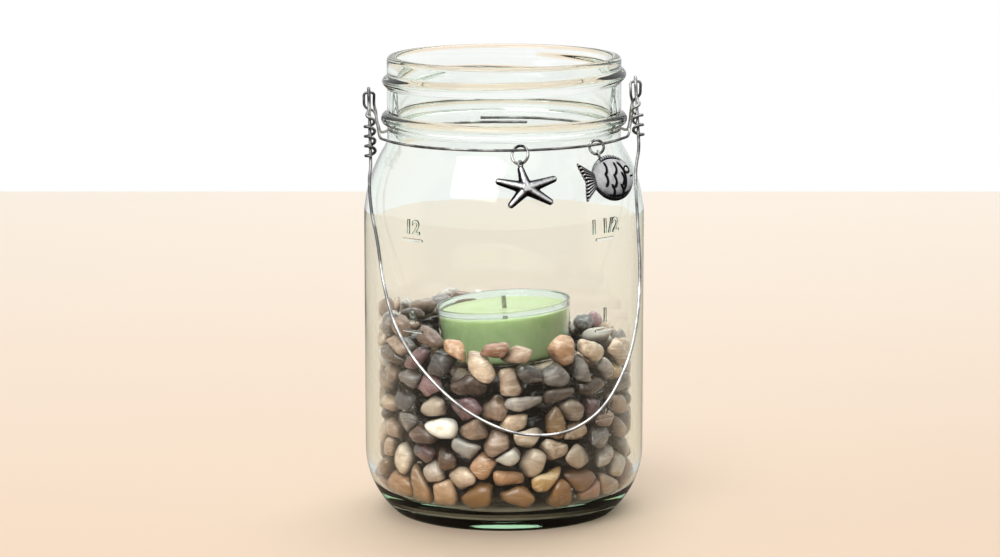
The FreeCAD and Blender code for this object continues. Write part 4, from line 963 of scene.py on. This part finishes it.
def make_wax(stand, finish):
    """Poured wax: it creeps up the cup and the wick, and dips between them."""
    side = CUP_FOOT - CUP_WALL - WAX_PLAY
    top = CUP_RADIUS - CUP_WALL - CUP_TAPER / 4 - WAX_PLAY
    low = CUP_WALL + TIN_THICK + 0.1
    points = [(0, low), (8, low), (side - 1.0, low), (side - 0.3, low + 0.25), (side, low + 0.9)]
    points += [(side + (top - side) * h / WAX_LEVEL, h) for h in np.linspace(3, WAX_LEVEL - 0.4, 5)]
    at_cup = [(0, 0.35), (-0.25, 0.5), (-0.7, 0.2), (-1.5, 0), (-4, -0.18)]
    points += [(top + across, WAX_LEVEL + rise) for across, rise in at_cup]
    at_wick = [(10, -0.25), (5, -0.2), (2.4, -0.05), (1.4, 0.3), (0.9, 0.55), (0, 0.6)]
    points += [(radius, WAX_LEVEL + rise) for radius, rise in at_wick]
    return finished("poured_wax", turned_shell(points, CUP_SEGMENTS, stand), finish)


def plied_cord(length, finish):
    """Equal strands laid round one axis."""
    cord = Growth("plied_cord", finish, Strands=WICK_STRANDS, Turns=WICK_TURNS, Length=length * MM,
                  Lay_Radius=LAY_RADIUS * MM, Strand_Radius=STRAND_RADIUS * MM)
    given = cord.given
    spiral = cord.made("GeometryNodeCurveSpiral", Resolution=20, Rotations=given["Turns"],
                       Height=given["Length"], Start_Radius=given["Lay Radius"],
                       End_Radius=given["Lay Radius"])
    ring = cord.made("GeometryNodeCurvePrimitiveCircle", Resolution=10, Radius=given["Strand Radius"])
    strand = cord.made("GeometryNodeCurveToMesh", Curve=spiral["Curve"], Profile_Curve=ring["Curve"],
                       Fill_Caps=True)
    points = cord.made("GeometryNodePoints", Count=given["Strands"])
    part = cord.sum("DIVIDE", 2 * math.pi, given["Strands"])
    angle = cord.sum("MULTIPLY", cord.made("GeometryNodeInputIndex")[0], part)
    cord.lay(points[0], strand["Mesh"], Rotation=cord.made("ShaderNodeCombineXYZ", Z=angle)[0])
    return cord


def make_wick(stand, finish):
    start = CUP_WALL + TIN_THICK + 0.2
    length = WAX_LEVEL + WICK_RISE - start - 0.1
    mesh = smoothed(plied_cord(length, finish).mesh())
    mesh.transform(stand @ Matrix.Translation((0, 0, start * MM)))
    return finished("plied_wick", mesh, finish)


# Everything in its place

def drawn_wire(name, node, finish):
    """A wire or ring with its sides shaded round and its cut ends left sharp."""
    wire = welded(frame["nodes"][node].data, 0.002)
    for edge in wire.edges:
        edge.smooth = edge.calc_face_angle(0.0) < math.radians(60)
    return finished(name, smoothed(closed(wire)), finish)


def make_lantern():
    glass, wire = pressed_glass(), bright_wire()
    relief, plain = antique_silver("wear_and_painted_light"), antique_silver()
    pieces = [
        (make_glass(glass), "jar", "clear_glass", "glass_jar"),
        (make_measure(glass), "jar", "clear_glass", None),
        (make_fish(relief), "fish", "antique_silver", "fish_charm"),
        (make_starfish(relief), "starfish", "antique_silver", "starfish_charm"),
    ]
    stand = tealight_stand()
    pieces += [
        (make_cup(stand, clear_cup_plastic()), "tealight", "clear_plastic", "tealight_cup"),
        (make_wax(stand, green_wax()), "tealight", "wax", "candle_wax"),
        (make_wick(stand, waxed_cotton()), "tealight", "cotton", "wick"),
    ]
    bed = Bed(stand)
    for seed, (kind, look) in enumerate(STONE_LOOKS.items()):
        stones = make_stones(kind, river_stone(f"stone_{kind}", *look), seed, bed)
        pieces.append((stones, "jar", f"pebbles_{kind}", f"pebbles_{kind}"))
    for name, node, body, slot, finish in (
        ("neck_wire_drawn", "neck_wire", "jar", "wire", wire),
        ("handle_wire_drawn", "handle_wire", "handle", "wire", wire),
        ("starfish_jump_ring", "starfish_ring", "starfish_link", "antique_silver", plain),
        ("fish_jump_ring", "fish_ring", "fish_link", "antique_silver", plain),
    ):
        pieces.append((drawn_wire(name, node, finish), body, slot, node))
    for piece, body, slot, node in pieces:
        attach(piece, body)
        if node:
            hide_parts(node)
    tin = stamped_tin()
    for slot in frame["nodes"]["wick_sustainer"].material_slots:
        slot.material = tin.material


# The table, the light and the camera

TABLE_FRONT, TABLE_BACK, TABLE_HALF = -2.5, 0.62, 3.0
TABLE_NEAR, TABLE_FAR = ((0.84, 0.615, 0.44), (0.86, 0.65, 0.475)), (0.99, 0.895, 0.78)
TABLE_MIRRORED = (0.16, 0.12, 0.085)
ROOM_MIRRORED, ROOM_FILL = 0.75, 0.36
LAMPS = (("window", (-0.45, -0.85, 0.95), 0.9, 8.0), ("ceiling", (0.12, 0.62, 1.30), 1.3, 12.0))
LAMP_AIM = Vector((0, 0, 0.06))
CAMERA_PLACE, CAMERA_TILT = (-0.001154, -0.95535, 0.23164), 80.17
SENSOR_WIDTH, LENS = 36.0, 122.44


def make_table():
    """A pale table, lighter at the back as painted light, and darker where the jar mirrors it as a painted
    reflection.
    """
    pale = Finish("pale_table", Roughness=0.6, Specular_IOR_Level=0.2)
    near = pale.ramp(pale.clouds(3.0, 2.0), (0.3, TABLE_NEAR[0]), (0.7, TABLE_NEAR[1]))
    back = pale.along("Y")
    # painted light: the table lighter towards the back
    seen = pale.blend(pale.spread(back, 0.0, 1.0, -0.2, TABLE_BACK), near, TABLE_FAR)
    path = pale.made("ShaderNodeLightPath")
    # painted reflection: the table darker where glass and metal mirror it
    outer = pale.sum("SUBTRACT", path["Is Glossy Ray"], path["Is Transmission Ray"])
    inner = pale.sum("MULTIPLY", path["Glossy Depth"], pale.spread(back, 1.0, 0.0, -0.10, -0.02))
    mirrored = pale.sum("MINIMUM", pale.sum("MAXIMUM", outer, inner), 1.0)
    pale.set("Base Color", pale.blend(mirrored, seen, TABLE_MIRRORED))
    left, right = -TABLE_HALF, TABLE_HALF
    ends = (left, TABLE_FRONT), (right, TABLE_FRONT), (right, TABLE_BACK), (left, TABLE_BACK)
    mesh = mesh_of([(x, y, 0) for x, y in ends], [(0, 1, 2, 3)])
    finished("table", mesh, pale)


def make_light():
    """A white room, dimmer where it is mirrored and as fill light, and two soft lamps."""
    world = bpy.data.worlds.new("white_room")
    SCENE.world = world
    world.use_nodes = True
    room = Nodes(world.node_tree)
    path = room.made("ShaderNodeLightPath")
    straight = room.sum("MAXIMUM", path["Is Camera Ray"], path["Is Transmission Ray"])
    not_scattered = room.sum("LESS_THAN", path["Diffuse Depth"], 0.5)
    seen = room.sum("MAXIMUM", room.sum("MULTIPLY", straight, not_scattered), ROOM_FILL)
    reflected = room.sum("SUBTRACT", path["Is Glossy Ray"], path["Is Transmission Ray"])
    mirrored = room.sum("MULTIPLY", room.sum("GREATER_THAN", reflected, 0.5), ROOM_MIRRORED - ROOM_FILL)
    walls = room.tree.nodes["Background"].inputs
    room.give(walls["Color"], (1, 1, 1, 1))
    room.give(walls["Strength"], room.sum("ADD", seen, mirrored))
    for name, place, breadth, watts in LAMPS:
        lamp = bpy.data.lights.new(name, "AREA")
        lamp.size, lamp.energy = breadth, watts
        piece = shown(name, lamp)
        piece.location = place
        piece.rotation_euler = (LAMP_AIM - Vector(place)).to_track_quat("-Z", "Y").to_euler()


def make_camera():
    camera = bpy.data.cameras.new("camera")
    camera.sensor_width, camera.lens, camera.sensor_fit = SENSOR_WIDTH, LENS, "HORIZONTAL"
    piece = shown("camera", camera)
    piece.location = CAMERA_PLACE
    piece.rotation_euler = (math.radians(CAMERA_TILT), 0, 0)
    SCENE.camera = piece


make_lantern()
make_table()
make_light()
make_camera()
SCENE.view_settings.view_transform = "Standard"
